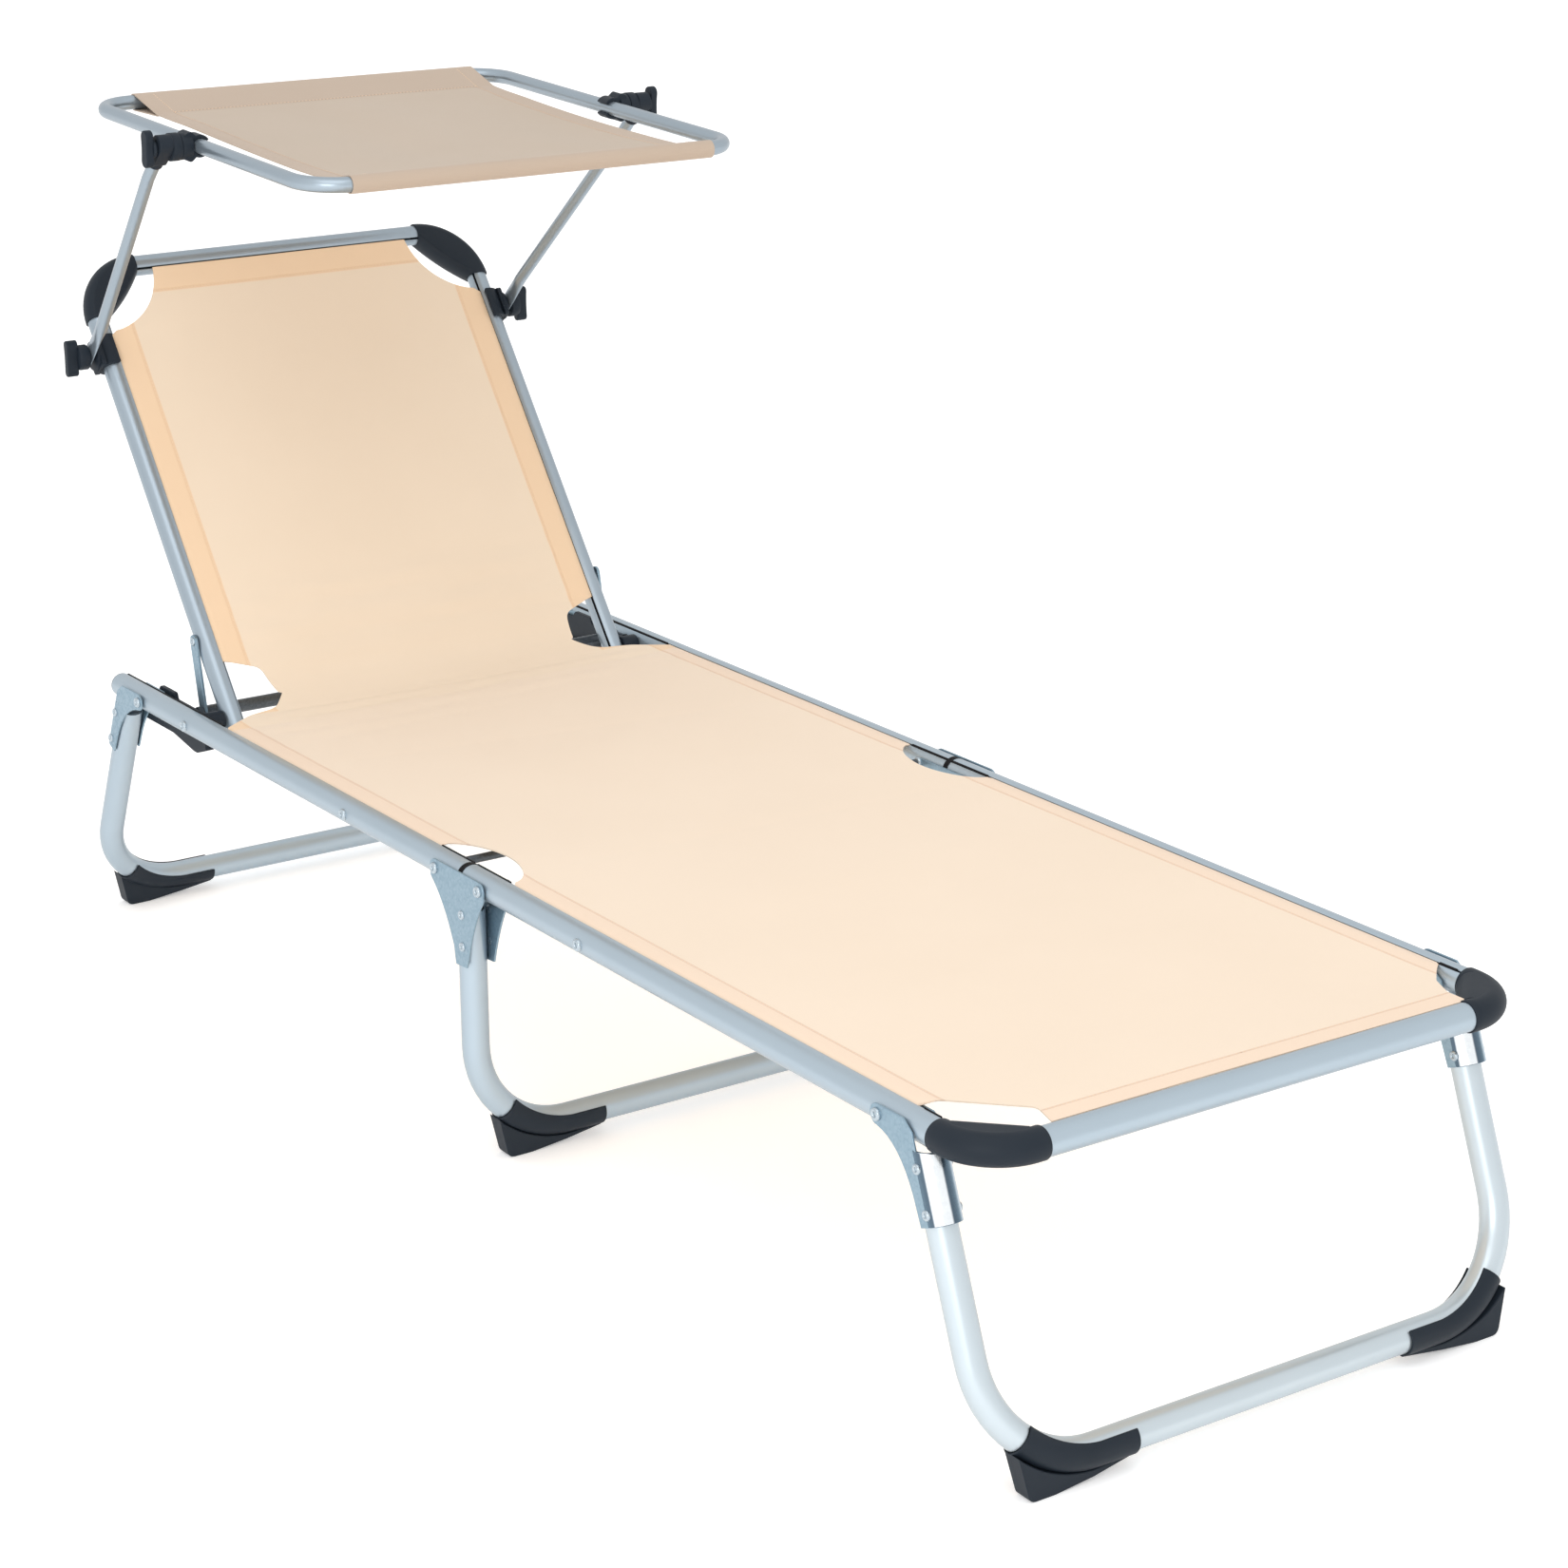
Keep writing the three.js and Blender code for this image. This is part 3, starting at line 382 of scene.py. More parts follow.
def bright_plate(name, rough, spangle, dark, light):
    """Bright plating with a painted reflection: bands of colour that follow how far a face turns away."""
    material = sheet_steel(name, rough, spangle, dark, light)
    tree = material.node_tree
    base = tree.nodes["Principled BSDF"].inputs["Base Color"]
    plain = base.links[0].from_socket
    facing = node(tree, "ShaderNodeLayerWeight", Blend=0.5)
    bands = node(tree, "ShaderNodeValToRGB")
    bands.color_ramp.interpolation = "EASE"
    stops = bands.color_ramp.elements
    for position, color in PAINTED_REFLECTION_BANDS[1:-1]:
        stops.new(position).color = (*color, 1)
    for stop, (position, color) in ((stops[0], PAINTED_REFLECTION_BANDS[0]), (stops[-1], PAINTED_REFLECTION_BANDS[-1])):
        stop.position, stop.color = position, (*color, 1)
    tree.links.new(facing.outputs["Facing"], bands.inputs[0])
    mixed = node(tree, "ShaderNodeMix", data_type="RGBA", blend_type="MULTIPLY")
    mixed.inputs[0].default_value = 1.0
    tree.links.new(plain, mixed.inputs[6])
    tree.links.new(bands.outputs["Color"], mixed.inputs[7])
    tree.links.new(mixed.outputs[2], base)
    return material


RAIL_METAL = tube_finish("satin_rail_metal", (0.44, 0.53, 0.60), (0.49, 0.58, 0.65), 0.7, (0.30, 0.42))
LEG_METAL = tube_finish("pale_leg_metal", (0.56, 0.635, 0.68), (0.62, 0.695, 0.74), 0.65, (0.28, 0.38))
SLIM_METAL = tube_finish("slim_tube_metal", (0.35, 0.42, 0.48), (0.40, 0.47, 0.53), 0.7, (0.28, 0.38))
ZINC = sheet_steel("zinc_plated_steel", (0.32, 0.5), 420.0, (0.25, 0.355, 0.43), (0.28, 0.385, 0.46))
# A near-black steel: painted shade for bars that lie in the shade under the cloth.
PAINTED_SHADE_STEEL = sheet_steel("steel_bar_painted_shade", (0.35, 0.5), 600.0, (0.075, 0.085, 0.095), (0.10, 0.115, 0.13))
RIVET_METAL = sheet_steel("rivet_steel", (0.25, 0.35), 500.0, (0.42, 0.49, 0.54), (0.48, 0.55, 0.60))
BRIGHT_ZINC_PAINTED_REFLECTION = bright_plate("bright_plated_steel_painted_reflection", (0.14, 0.22), 300.0, (0.86, 0.90, 0.93), (0.90, 0.94, 0.96))
print("metals made:", RAIL_METAL.name, LEG_METAL.name, SLIM_METAL.name)
print("plated steels made:", ZINC.name, PAINTED_SHADE_STEEL.name, RIVET_METAL.name, BRIGHT_ZINC_PAINTED_REFLECTION.name)


# %% Plastic finish
def moulded_plastic(name, dark, light, rough):
    material, tree, shader = start_material(name)
    place = node(tree, "ShaderNodeTexCoord")
    grain = use_group(tree, GRAIN, Scale=1600.0)
    tree.links.new(place.outputs["Object"], grain.inputs["Vector"])
    tint = mix_color(tree, grain.outputs["Cloud"], dark, light)
    tree.links.new(tint, shader.inputs["Base Color"])
    shader.inputs["Specular IOR Level"].default_value = 0.2
    tree.links.new(spread(tree, grain.outputs["Cloud"], *rough), shader.inputs["Roughness"])
    bump(tree, shader, grain.outputs["Height"], 0.00006, 0.5)
    return material


BLACK = moulded_plastic("black_moulded_plastic", (0.010, 0.016, 0.024), (0.016, 0.023, 0.033), (0.45, 0.6))
SLOT_BLACK = moulded_plastic("slot_shade_strip_black", (0.004, 0.004, 0.005), (0.008, 0.008, 0.009), (0.6, 0.8))
print("plastics made:", BLACK.name, SLOT_BLACK.name)


# %% [markdown]
# The cloth is a pale sand mesh. Its own map holds flat metres, so the threads keep
# their size where the sheet bends, and an attribute holds each point's distance from
# the straight edges, which draws the doubled hem and the line of its seam there.

# %% Cloth finish
HEM, BACK_HEM = 0.022, 0.030
HEM_SOFT, SEAM_IN, SEAM_CORE, SEAM_HALF = 0.0008, 0.0015, 0.0006, 0.0018
THREAD_PITCH = 0.0011


def cloth_finish(name, dark, light, crown, hem_tint, seam_tint, band=0.30, line=0.40):
    """Woven cloth. band and line say how strongly the hem and its seam show."""
    material, tree, shader = start_material(name)
    weave = use_group(tree, WEAVE, Pitch=THREAD_PITCH)
    edge = node(tree, "ShaderNodeAttribute", attribute_name="edge_distance").outputs["Fac"]
    hem = remap(tree, edge, HEM - HEM_SOFT, HEM + HEM_SOFT, 1.0, 0.0, "SMOOTHSTEP")
    seam_gap = math_node(tree, "ABSOLUTE", math_node(tree, "SUBTRACT", edge, HEM - SEAM_IN))
    seam = remap(tree, seam_gap, SEAM_CORE, SEAM_HALF, 1.0, 0.0, "SMOOTHSTEP")
    ground = mix_color(tree, weave.outputs["Cloud"], dark, light)
    threads = mix_color(tree, math_node(tree, "MULTIPLY", weave.outputs["Gaps"], 0.18), ground, crown)
    banded = mix_color(tree, math_node(tree, "MULTIPLY", hem, band), threads, hem_tint)
    seamed = mix_color(tree, math_node(tree, "MULTIPLY", seam, line), banded, seam_tint)
    tree.links.new(seamed, shader.inputs["Base Color"])
    shader.inputs["Roughness"].default_value = 0.82
    shader.inputs["Sheen Weight"].default_value = 0.15
    shader.inputs["Sheen Roughness"].default_value = 0.5
    raised = math_node(tree, "MULTIPLY", hem, 4.0)
    sunk = math_node(tree, "MULTIPLY", seam, -3.0)
    threads_up = math_node(tree, "ADD", weave.outputs["Height"], raised)
    bump(tree, shader, math_node(tree, "ADD", threads_up, sunk), 0.00012, 0.6)
    return material


CLOTH_MATERIAL = cloth_finish(
    "sand_woven_cloth", (0.79, 0.64, 0.49), (0.84, 0.69, 0.54), (0.92, 0.82, 0.70),
    hem_tint=(0.82, 0.57, 0.41), seam_tint=(0.56, 0.38, 0.29))
# The backrest's hem is stronger and more orange than the bed's: partly the doubled hem's own tint, partly
# painted shade from the canopy over the backrest's top.
BACK_MATERIAL = cloth_finish(
    "back_woven_cloth", (0.79, 0.64, 0.48), (0.84, 0.69, 0.53), (0.92, 0.82, 0.69),
    hem_tint=(0.86, 0.53, 0.26), seam_tint=(0.66, 0.42, 0.25), band=0.42, line=0.22)
CANOPY_MATERIAL = cloth_finish(
    "shade_woven_cloth", (0.46, 0.37, 0.28), (0.51, 0.41, 0.32), (0.58, 0.49, 0.40),
    hem_tint=(0.46, 0.33, 0.25), seam_tint=(0.32, 0.23, 0.18))
print("cloths made:", CLOTH_MATERIAL.name, BACK_MATERIAL.name, CANOPY_MATERIAL.name)


# %% [markdown]
# Most of the lounger is bent tube. A tube is a section carried along a path, with the
# section's second axis held square to the plane that the path bends in, so a slot
# pressed into the wall stays where it belongs. Each tube gets a map named "along".

# %% Sections and paths
def circle(radius, sides=40, start=0.0, turn=2 * math.pi):
    """Points of a circle, or of an arc with both its ends if turn is less than a whole turn."""
    count = sides if abs(turn - 2 * math.pi) < 1e-9 else sides + 1
    angles = [start + turn * i / sides for i in range(count)]
    return [(radius * math.cos(angle), radius * math.sin(angle)) for angle in angles]


def slotted(radius, wall, angle, slot, sides=56):
    """A tube section with a slot that opens toward an angle, its lips a little rounded."""
    lip = 0.5 / radius
    bore, edge = radius - wall, radius - 0.4
    outer, inner = math.asin(slot / 2 / radius), math.asin(slot / 2 / bore)
    points = circle(radius, sides, angle + outer + lip, 2 * math.pi - 2 * (outer + lip))
    points += [(edge * math.cos(angle - outer), edge * math.sin(angle - outer))]
    points += circle(bore, sides // 2, angle - inner, 2 * inner - 2 * math.pi)
    points += [(edge * math.cos(angle + outer), edge * math.sin(angle + outer))]
    return points


def bent(corners, radius, steps=14):
    """Straight runs joined by arcs of one radius, as a tube bender makes them."""
    corners = [Vector(c) for c in corners]
    points = [corners[0]]
    for before, corner, after in zip(corners, corners[1:], corners[2:]):
        back, onward = (before - corner).normalized(), (after - corner).normalized()
        half = math.pi / 2 - back.angle(onward) / 2
        inward, sideways = (back + onward).normalized(), (onward - back).normalized()
        centre = corner + inward * (radius / math.cos(half))
        for k in range(steps + 1):
            angle = half * (2 * k / steps - 1)
            points.append(centre - inward * radius * math.cos(angle) + sideways * radius * math.sin(angle))
    return points + [corners[-1]]


print("a tube's circle has", len(circle(1)), "points")


# %% Mesh makers
SIDES = (("right", -1), ("left", 1))
UP = (0, 0, 1)


def shown(name, mesh):
    """Puts a mesh in the scene as an object with smooth faces."""
    thing = bpy.data.objects.new(name, mesh)
    bpy.context.scene.collection.objects.link(thing)
    for face in mesh.polygons:
        face.use_smooth = True
    return thing


def outward(bm):
    bmesh.ops.recalc_face_normals(bm, faces=bm.faces)
    return bm


def skin(rings):
    """Joins rings of places in millimetres into a skin with a flat face at each end."""
    bm = bmesh.new()
    loops = [[bm.verts.new(at(*spot)) for spot in ring] for ring in rings]
    for first, second in zip(loops, loops[1:]):
        for k in range(len(first)):
            n = (k + 1) % len(first)
            bm.faces.new((first[k], first[n], second[n], second[k]))
    bm.faces.new(loops[0])
    bm.faces.new(loops[-1])
    return outward(bm)


def carried(path, section, square, closed=False, scale=None):
    """Carries a section along a path in millimetres. square is the path plane's normal."""
    bm = bmesh.new()
    along = bm.loops.layers.uv.new("along")
    square = Vector(square).normalized()
    count, sides = len(path), len(section)
    rings, lengths, total = [], [], 0.0
    for i, point in enumerate(path):
        if closed:
            ahead, behind = path[(i + 1) % count], path[i - 1]
        else:
            ahead, behind = path[min(i + 1, count - 1)], path[max(i - 1, 0)]
        across = (Vector(ahead) - Vector(behind)).normalized().cross(square).normalized()
        grow = 1.0 if scale is None else scale[i]
        spots = [Vector(point) + across * a * grow + square * b * grow for a, b in section]
        rings.append([bm.verts.new(at(*spot)) for spot in spots])
        if i:
            total += (Vector(point) - Vector(path[i - 1])).length / 1000
        lengths.append(total)
    round_it = [0.0]
    for k in range(sides):
        here, there = Vector(section[k]), Vector(section[(k + 1) % sides])
        round_it.append(round_it[-1] + (there - here).length / 1000)
    for i in range(count if closed else count - 1):
        j = (i + 1) % count
        low, high = lengths[i], lengths[i + 1] if j else total
        for k in range(sides):
            n = (k + 1) % sides
            face = bm.faces.new((rings[i][k], rings[i][n], rings[j][n], rings[j][k]))
            around = (round_it[k], round_it[k + 1], round_it[k + 1], round_it[k])
            for loop, u, v in zip(face.loops, around, (low, low, high, high)):
                loop[along].uv = (u, v)
    if not closed:
        bm.faces.new(rings[0])
        bm.faces.new(rings[-1])
    return outward(bm)


def merged(*parts):
    whole = bmesh.new()
    for part in parts:
        mesh = bpy.data.meshes.new("part")
        part.to_mesh(mesh)
        part.free()
        whole.from_mesh(mesh)
        bpy.data.meshes.remove(mesh)
    return whole


# %% Pieces
def riding(name, bm, material, body, nodes=(), smooth_angle=35):
    """Keeps what was drawn as a piece that rides on one body and stands for the frame's nodes."""
    mesh = bpy.data.meshes.new(name)
    bm.to_mesh(mesh)
    bm.free()
    piece = shown(name, mesh)
    mesh.materials.append(material)
    mesh.set_sharp_from_angle(angle=math.radians(smooth_angle))
    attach(piece, body)
    if nodes:
        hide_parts(*nodes)
    return piece


def tube(name, path, section, square, material, body, nodes=()):
    riding(name, carried(path, section, square), material, body, nodes)


def soften(piece, width, angle):
    """A small live bevel, in millimetres, on edges that are sharper than an angle."""
    bevel = piece.modifiers.new("soften", "BEVEL")
    bevel.width, bevel.segments, bevel.limit_method = width / 1000, 2, "ANGLE"
    bevel.angle_limit = math.radians(angle)


print("piece helpers:", ", ".join(helper.__name__ for helper in (riding, tube, soften)))


# %% [markdown]
# The bed frame is one extruded tube with a slot pressed along its upper inner corner;
# the cloth's corded edge is threaded through that slot. Where the cloth is cut away
# the slot shows as a thin dark line of shade, painted by a black strip inside the tube.

# %% Rails and foot tube
HALF = 277
RAIL_R, RAIL_WALL, RAIL_SLOT = 12.5, 1.6, 1.8
SLOT_ANGLE = math.radians(60)
HEAD_END, ELBOW_START, FOOT_X, FOOT_TUBE_HALF = -755, 713, 769, 221
SHADE_STRIP_R, SHADE_STRIP_PROUD = 1.4, 1.3
RAIL_SPANS = (("head", HEAD_END, -FOLD_GAP / 2), ("foot", FOLD_GAP / 2, ELBOW_START))
# The black strips of painted slot shade: name, both ends along the rail, and the part of the bed.
SLOT_SHADE_STRIPS = (
    ("hinge", -752, -520, "head"), ("head", -62, -3.6, "head"),
    ("foot", 3.6, 62, "foot"), ("corner", 688, 708, "foot"),
)


def rail_section(angle):
    return slotted(RAIL_R, RAIL_WALL, angle, RAIL_SLOT)


def side_rail(part, start, end, hand, side):
    path = [(start, side * HALF, RAIL_Z), (end, side * HALF, RAIL_Z)]
    # Carried toward +X with its square axis up, the section's first axis points to -Y.
    section = rail_section(math.pi - SLOT_ANGLE if side < 0 else SLOT_ANGLE)
    nodes = [f"{part}_rail_{hand}"]
    tube(f"{part}_side_rail_{hand}", path, section, UP, RAIL_METAL, f"{part}_section", nodes)


# A black strip inside a rail's slot: painted shade for the empty slot.
def slot_shade_strip(name, start, end, side, body):
    reach = RAIL_R + SHADE_STRIP_PROUD - SHADE_STRIP_R
    y = side * (HALF - reach * math.cos(SLOT_ANGLE))
    z = RAIL_Z + reach * math.sin(SLOT_ANGLE)
    tube(name, [(start, y, z), (end, y, z)], circle(SHADE_STRIP_R, 12), UP, SLOT_BLACK, body)


for hand, side in SIDES:
    for part, start, end in RAIL_SPANS:
        side_rail(part, start, end, hand, side)
    for cut, start, end, part in SLOT_SHADE_STRIPS:
        slot_shade_strip(f"{cut}_slot_insert_{hand}", start, end, side, f"{part}_section")

foot_path = [(FOOT_X, -FOOT_TUBE_HALF, RAIL_Z), (FOOT_X, FOOT_TUBE_HALF, RAIL_Z)]
foot_section = rail_section(math.pi - SLOT_ANGLE)
tube("foot_cross_tube", foot_path, foot_section, UP, RAIL_METAL, "foot_section", ["foot_end_tube"])
print("bed frame tubes made")


# %% [markdown]
# Round bars cross under the bed, and a black stop closes each rail where the bed
# folds, so the two halves meet plastic to plastic.

# %% Cross bars and fold stops
HEAD_BRACE_X, FOOT_BRACE_X, BRACE_R, BRACE_HALF = -225, 208, 6, 264.2
FOLD_AXIS, FOLD_ROD_R, FOLD_ROD_HALF = 40, 4, 261.4
STOP_START, STOP_DEEP, STOP_PROUD = 0.25, 1.2, 0.4
CAP_PAST, CAP_DEEP, CAP_LESS = 1.2, 0.1, 0.2


def cross_bar(name, x, radius, half, body, material, node_name):
    path = [(x, -half, RAIL_Z), (x, half, RAIL_Z)]
    tube(name, path, circle(radius, 24), UP, material, body, [node_name])


def plug(name, start, end, side, radius, material, body):
    """A short round piece on a rail's own line."""
    path = [(start, side * HALF, RAIL_Z), (end, side * HALF, RAIL_Z)]
    tube(name, path, circle(radius), UP, material, body)


for part, x in (("head", HEAD_BRACE_X), ("foot", FOOT_BRACE_X)):
    body, node_name = f"{part}_section", f"{part}_cross_brace"
    cross_bar(f"{part}_bar_under_bed", x, BRACE_R, BRACE_HALF, body, RAIL_METAL, node_name)
# The fold rod takes the near-black steel as painted shade under the bed.
cross_bar("fold_rod", -FOLD_AXIS, FOLD_ROD_R, FOLD_ROD_HALF, "mid_leg", PAINTED_SHADE_STEEL, "mid_cross_rod")

for hand, side in SIDES:
    for body, sign in (("head_section", -1), ("foot_section", 1)):
        start, end = sign * STOP_START, sign * (FOLD_GAP / 2 + STOP_DEEP)
        plug(f"fold_stop_{body}_{hand}", start, end, side, RAIL_R + STOP_PROUD, SLOT_BLACK, body)
    start, end = HEAD_END - CAP_PAST, HEAD_END + CAP_DEEP
    plug(f"head_end_cap_{hand}", start, end, side, RAIL_R - CAP_LESS, BLACK, "head_section")
print("cross bars: 3, fold stops: 4, end caps: 2")


# %% [markdown]
# Each leg is one tube bent into a U with wide corners. A leg is drawn in its own
# upright frame, where it crosses the rails' height, and then leaned out.

# %% Legs
LEG_R, LEG_WALL, LEG_BEND = 13.0, 1.6, 95.0
BAR_Z = 23.0
LEGS = {
    "foot": {"pivot": 654.0, "offset": 36.6, "splay": 99.9, "way": 1, "body": "foot_leg", "top": 22.0},
    "head": {"pivot": -683.0, "offset": 43.8, "splay": 119.6, "way": -1, "body": "head_leg", "top": 22.0},
    "mid": {"pivot": 0.0, "offset": 0.0, "splay": 0.0, "way": 1, "body": "mid_leg", "top": 31.0},
}
for leg in LEGS.values():
    leg["tilt"] = math.atan2(leg["splay"], RAIL_Z - BAR_Z)
    leg["down"] = (RAIL_Z - BAR_Z) / math.cos(leg["tilt"])
    leg["head"] = leg["top"] / math.cos(leg["tilt"])


def leaned(leg, x, y, z):
    """A point of a leg's own upright frame, as a place on the lounger."""
    cos, sin = math.cos(leg["tilt"]), math.sin(leg["tilt"])
    out = x * cos - z * sin
    return (leg["pivot"] + leg["way"] * (leg["offset"] + out), y, RAIL_Z + x * sin + z * cos)


def leg_path(leg):
    down, head = leg["down"], leg["head"]
    corners = [(0, -HALF, -head), (0, -HALF, -down), (0, HALF, -down), (0, HALF, -head)]
    return [leaned(leg, *p) for p in bent(corners, LEG_BEND, 16)]


def near(edge, place):
    """Whether an edge lies at the mouth of a tube that ends at a place."""
    spot = at(*place)
    return all((vert.co - spot).length < 0.03 for vert in edge.verts)


def hollow(path, radius, wall, square):
    """An open tube: outer wall, inner wall and the two end rings."""
    walls = [carried(path, circle(size), square) for size in (radius, radius - wall)]
    for bm in walls:
        bmesh.ops.delete(bm, geom=[f for f in bm.faces if len(f.verts) > 4], context="FACES")
    whole = merged(*walls)
    edges = [e for e in whole.edges if e.is_boundary]
    for mouth in (path[0], path[-1]):
        bmesh.ops.bridge_loops(whole, edges=[e for e in edges if near(e, mouth)])
    return outward(whole)


for name, leg in LEGS.items():
    square = (leg["way"] * math.cos(leg["tilt"]), 0, math.sin(leg["tilt"]))
    # The head and middle legs take the darker rail finish as painted shade from the bed over them; the foot
    # leg keeps the pale finish.
    metal = LEG_METAL if name == "foot" else RAIL_METAL
    shape = hollow(leg_path(leg), LEG_R, LEG_WALL, square)
    riding(f"{name}_leg", shape, metal, leg["body"], [f"{name}_leg_tube"])
print("legs made:", len(LEGS))


# %% [markdown]
# Many pieces are cut from sheet or have a flat outline. An outline is a list of points,
# its corners rounded by a radius each, and a slab gives it a thickness.

# %% Outlines and slabs
def rounded(corners, steps=5):
    """A 2-D outline whose listed corners (x, z, radius) are rounded."""
    points = []
    count = len(corners)
    for i, (x, z, radius) in enumerate(corners):
        here = Vector((x, z))
        if radius <= 0:
            points.append((x, z))
            continue
        back = (Vector(corners[i - 1][:2]) - here)
        onward = (Vector(corners[(i + 1) % count][:2]) - here)
        angle = back.angle(onward)
        cut = min(radius / math.tan(angle / 2), back.length * 0.49, onward.length * 0.49)
        first, last = here + back.normalized() * cut, here + onward.normalized() * cut
        for k in range(steps + 1):
            t = k / steps
            points.append(tuple(first * (1 - t) ** 2 + here * 2 * t * (1 - t) + last * t ** 2))
    return points


def curve_between(first, control, last, steps=8):
    """Points from first to last, drawn toward a control point."""
    a, b, c = Vector(first), Vector(control), Vector(last)
    places = [k / steps for k in range(steps + 1)]
    return [tuple(a * (1 - t) ** 2 + b * 2 * t * (1 - t) + c * t ** 2) for t in places]


def arc2(x, z, radius, start, end, steps=12):
    """Points of an arc between two angles in degrees."""
    angles = [math.radians(start + (end - start) * k / steps) for k in range(steps + 1)]
    return [(x + radius * math.cos(angle), z + radius * math.sin(angle)) for angle in angles]


def slab(outline, y_low, y_high, place):
    """A plate between two distances across, its outline put in place by a function."""
    return skin([[place(x, y, z) for x, z in outline] for y in (y_low, y_high)])


print("a rounded corner has", len(rounded([(0, 0, 0), (1, 0, 0.5), (1, 1, 0)])) - 2, "points")


# %% [markdown]
# The bed's two foot corners are moulded elbows, a little thicker than the tubes they
# join, with a rounded lip where each tube goes in.

# %% Corner elbows
ELBOW_BEND, ELBOW_R, ELBOW_GAP = 48, 14.0, 0.3
ELBOW_LIP = ((0.0, 1.2), (0.35, 0.4), (1.2, 0.0))
WEB_R, WEB_IN = 13.9, 3


def elbow(side):
    """The bend. Its lip says how much thinner it is at each distance from its ends."""
    start, corner = (ELBOW_START + ELBOW_GAP, side * HALF, RAIL_Z), (FOOT_X, side * HALF, RAIL_Z)
    end = (FOOT_X, side * (FOOT_TUBE_HALF + ELBOW_GAP), RAIL_Z)
    path = bent([start, corner, end], ELBOW_BEND, 20)
    first, last = path[0], path[-1]
    into, out = (path[1] - first).normalized(), (last - path[-2]).normalized()
    head = [first + into * distance for distance, _ in ELBOW_LIP]
    tail = [last - out * distance for distance, _ in reversed(ELBOW_LIP)]
    grow = [(ELBOW_R - thinner) / ELBOW_R for _, thinner in ELBOW_LIP]
    scale = grow + [1.0] * (len(path) - 2) + grow[::-1]
    return carried(head + path[1:-1] + tail, circle(ELBOW_R), UP, scale=scale)


def elbow_web(side):
    """The corner's inside is filled: a round edge straight across it, and a flat web behind."""
    x, y = FOOT_X - ELBOW_BEND, HALF - ELBOW_BEND
    chord = [(x + WEB_IN, side * (HALF - WEB_IN), RAIL_Z), (FOOT_X - WEB_IN, side * (y + WEB_IN), RAIL_Z)]
    edge = carried(chord, circle(WEB_R), UP)
    fan = arc2(x, y, ELBOW_BEND, 0, 90, 16)
    return edge, slab(fan, -WEB_R, WEB_R, lambda x, lift, y: (x, side * y, RAIL_Z + lift))


for hand, side in SIDES:
    shape = merged(elbow(side), *elbow_web(side))
    riding(f"foot_corner_elbow_{hand}", shape, BLACK, "foot_section", [f"corner_elbow_{hand}"], 50)
print("foot corners made: 2")


# %% [markdown]
# A foot pad is one moulding: a trough that hugs the tube through its bend, and a
# three-cornered heel below it with a sunk panel on each face.

# %% Foot pads
PAD_INNER, PAD_OUTER, PAD_TURN, HEEL_HALF = 145.0, 250.0, 45.0, 9.5
TROUGH_IN, TROUGH_OUT = LEG_R + 0.3, LEG_R + 2.2
TROUGH_WRAP, TROUGH_WRAP_GAIN = 27, 21
BEND_START = HALF - LEG_BEND
HEEL_START, HEEL_FLAT, HEEL_TIP = 42.0, 80.0, 0.4
SOLE_INNER, SOLE_LOW = 7, 4


def pad_stations():
    """Places along the pad: distance across, and how far the tube has turned up there."""
    flat = [(PAD_INNER + (BEND_START - PAD_INNER) * k / 6, 0.0) for k in range(6)]
    turns = [math.radians(PAD_TURN) * k / 14 for k in range(15)]
    return flat + [(BEND_START + LEG_BEND * math.sin(turn), turn) for turn in turns]


def trough_mesh(leg, side):
    """The wall that hugs the tube. It reaches further round it toward the outer end."""
    rings = []
    for y, turn in pad_stations():
        wrap = TROUGH_WRAP + TROUGH_WRAP_GAIN * math.degrees(turn) / PAD_TURN
        centre = LEG_BEND * (1 - math.cos(turn)) - leg["down"]
        section = arc2(0, 0, TROUGH_OUT, -180 - wrap, wrap, 24) + arc2(0, 0, TROUGH_IN, wrap, -180 - wrap, 24)
        rings.append([
            leaned(leg, x, side * (y - lift * math.sin(turn)), centre + lift * math.cos(turn))
            for x, lift in section
        ])
    return skin(rings)


def heel_mesh(leg, side):
    """The upright heel between the trough and the floor. It thins toward its inner tip."""
    middle = leg["pivot"] + leg["way"] * (leg["offset"] + leg["splay"])
    drop = LEG_R + 1.0
    top = []
    for y, turn in pad_stations():
        centre = LEG_BEND * (1 - math.cos(turn)) - drop * math.cos(turn)
        top.append((y + drop * math.sin(turn), BAR_Z + centre * math.cos(leg["tilt"])))
    sole = rounded([(PAD_INNER, SOLE_INNER, 0), (PAD_INNER + HEEL_START, SOLE_LOW, 14),
                    (PAD_INNER + HEEL_FLAT, 0, 14), (PAD_OUTER, 0, 8), (*top[-1], 0)], 6)
    rings = []
    for way in (-1, 1):
        ring = []
        for y, z in sole + top[::-1]:
            shift = max(z - BAR_Z, 0.0) * math.tan(leg["tilt"]) / 2
            share = min(max((y - PAD_INNER) / HEEL_START, 0), 1)
            half = HEEL_HALF * (HEEL_TIP + (1 - HEEL_TIP) * share)
            ring.append((middle - leg["way"] * shift + way * half, side * y, z))
        rings.append(ring)
    return skin(rings)


for name, leg in LEGS.items():
    for hand, side in SIDES:
        shape = merged(trough_mesh(leg, side), heel_mesh(leg, side))
        nodes = [f"{name}_leg_pad_{hand}"]
        soften(riding(f"{name}_pad_{hand}", shape, BLACK, leg["body"], nodes, 40), 1.1, 50)
print("pads made: 6")


# %% [markdown]
# The leg brackets are pressed from zinc plated sheet: two plates that straddle the
# rail, joined by a half-round back that wraps the leg tube.

# %% Leg brackets
PLATE_IN, PLATE_OUT = 13.3, 15.3
WRAP_BOTTOM, WRAP_DROP, MID_WRAP_DROP, WRAP_SHIFT = -77.0, 13.4, 36.0, 4.0
OUTER_EYE, INNER_EYE, MID_INNER_EYE = 9, 7.5, 5


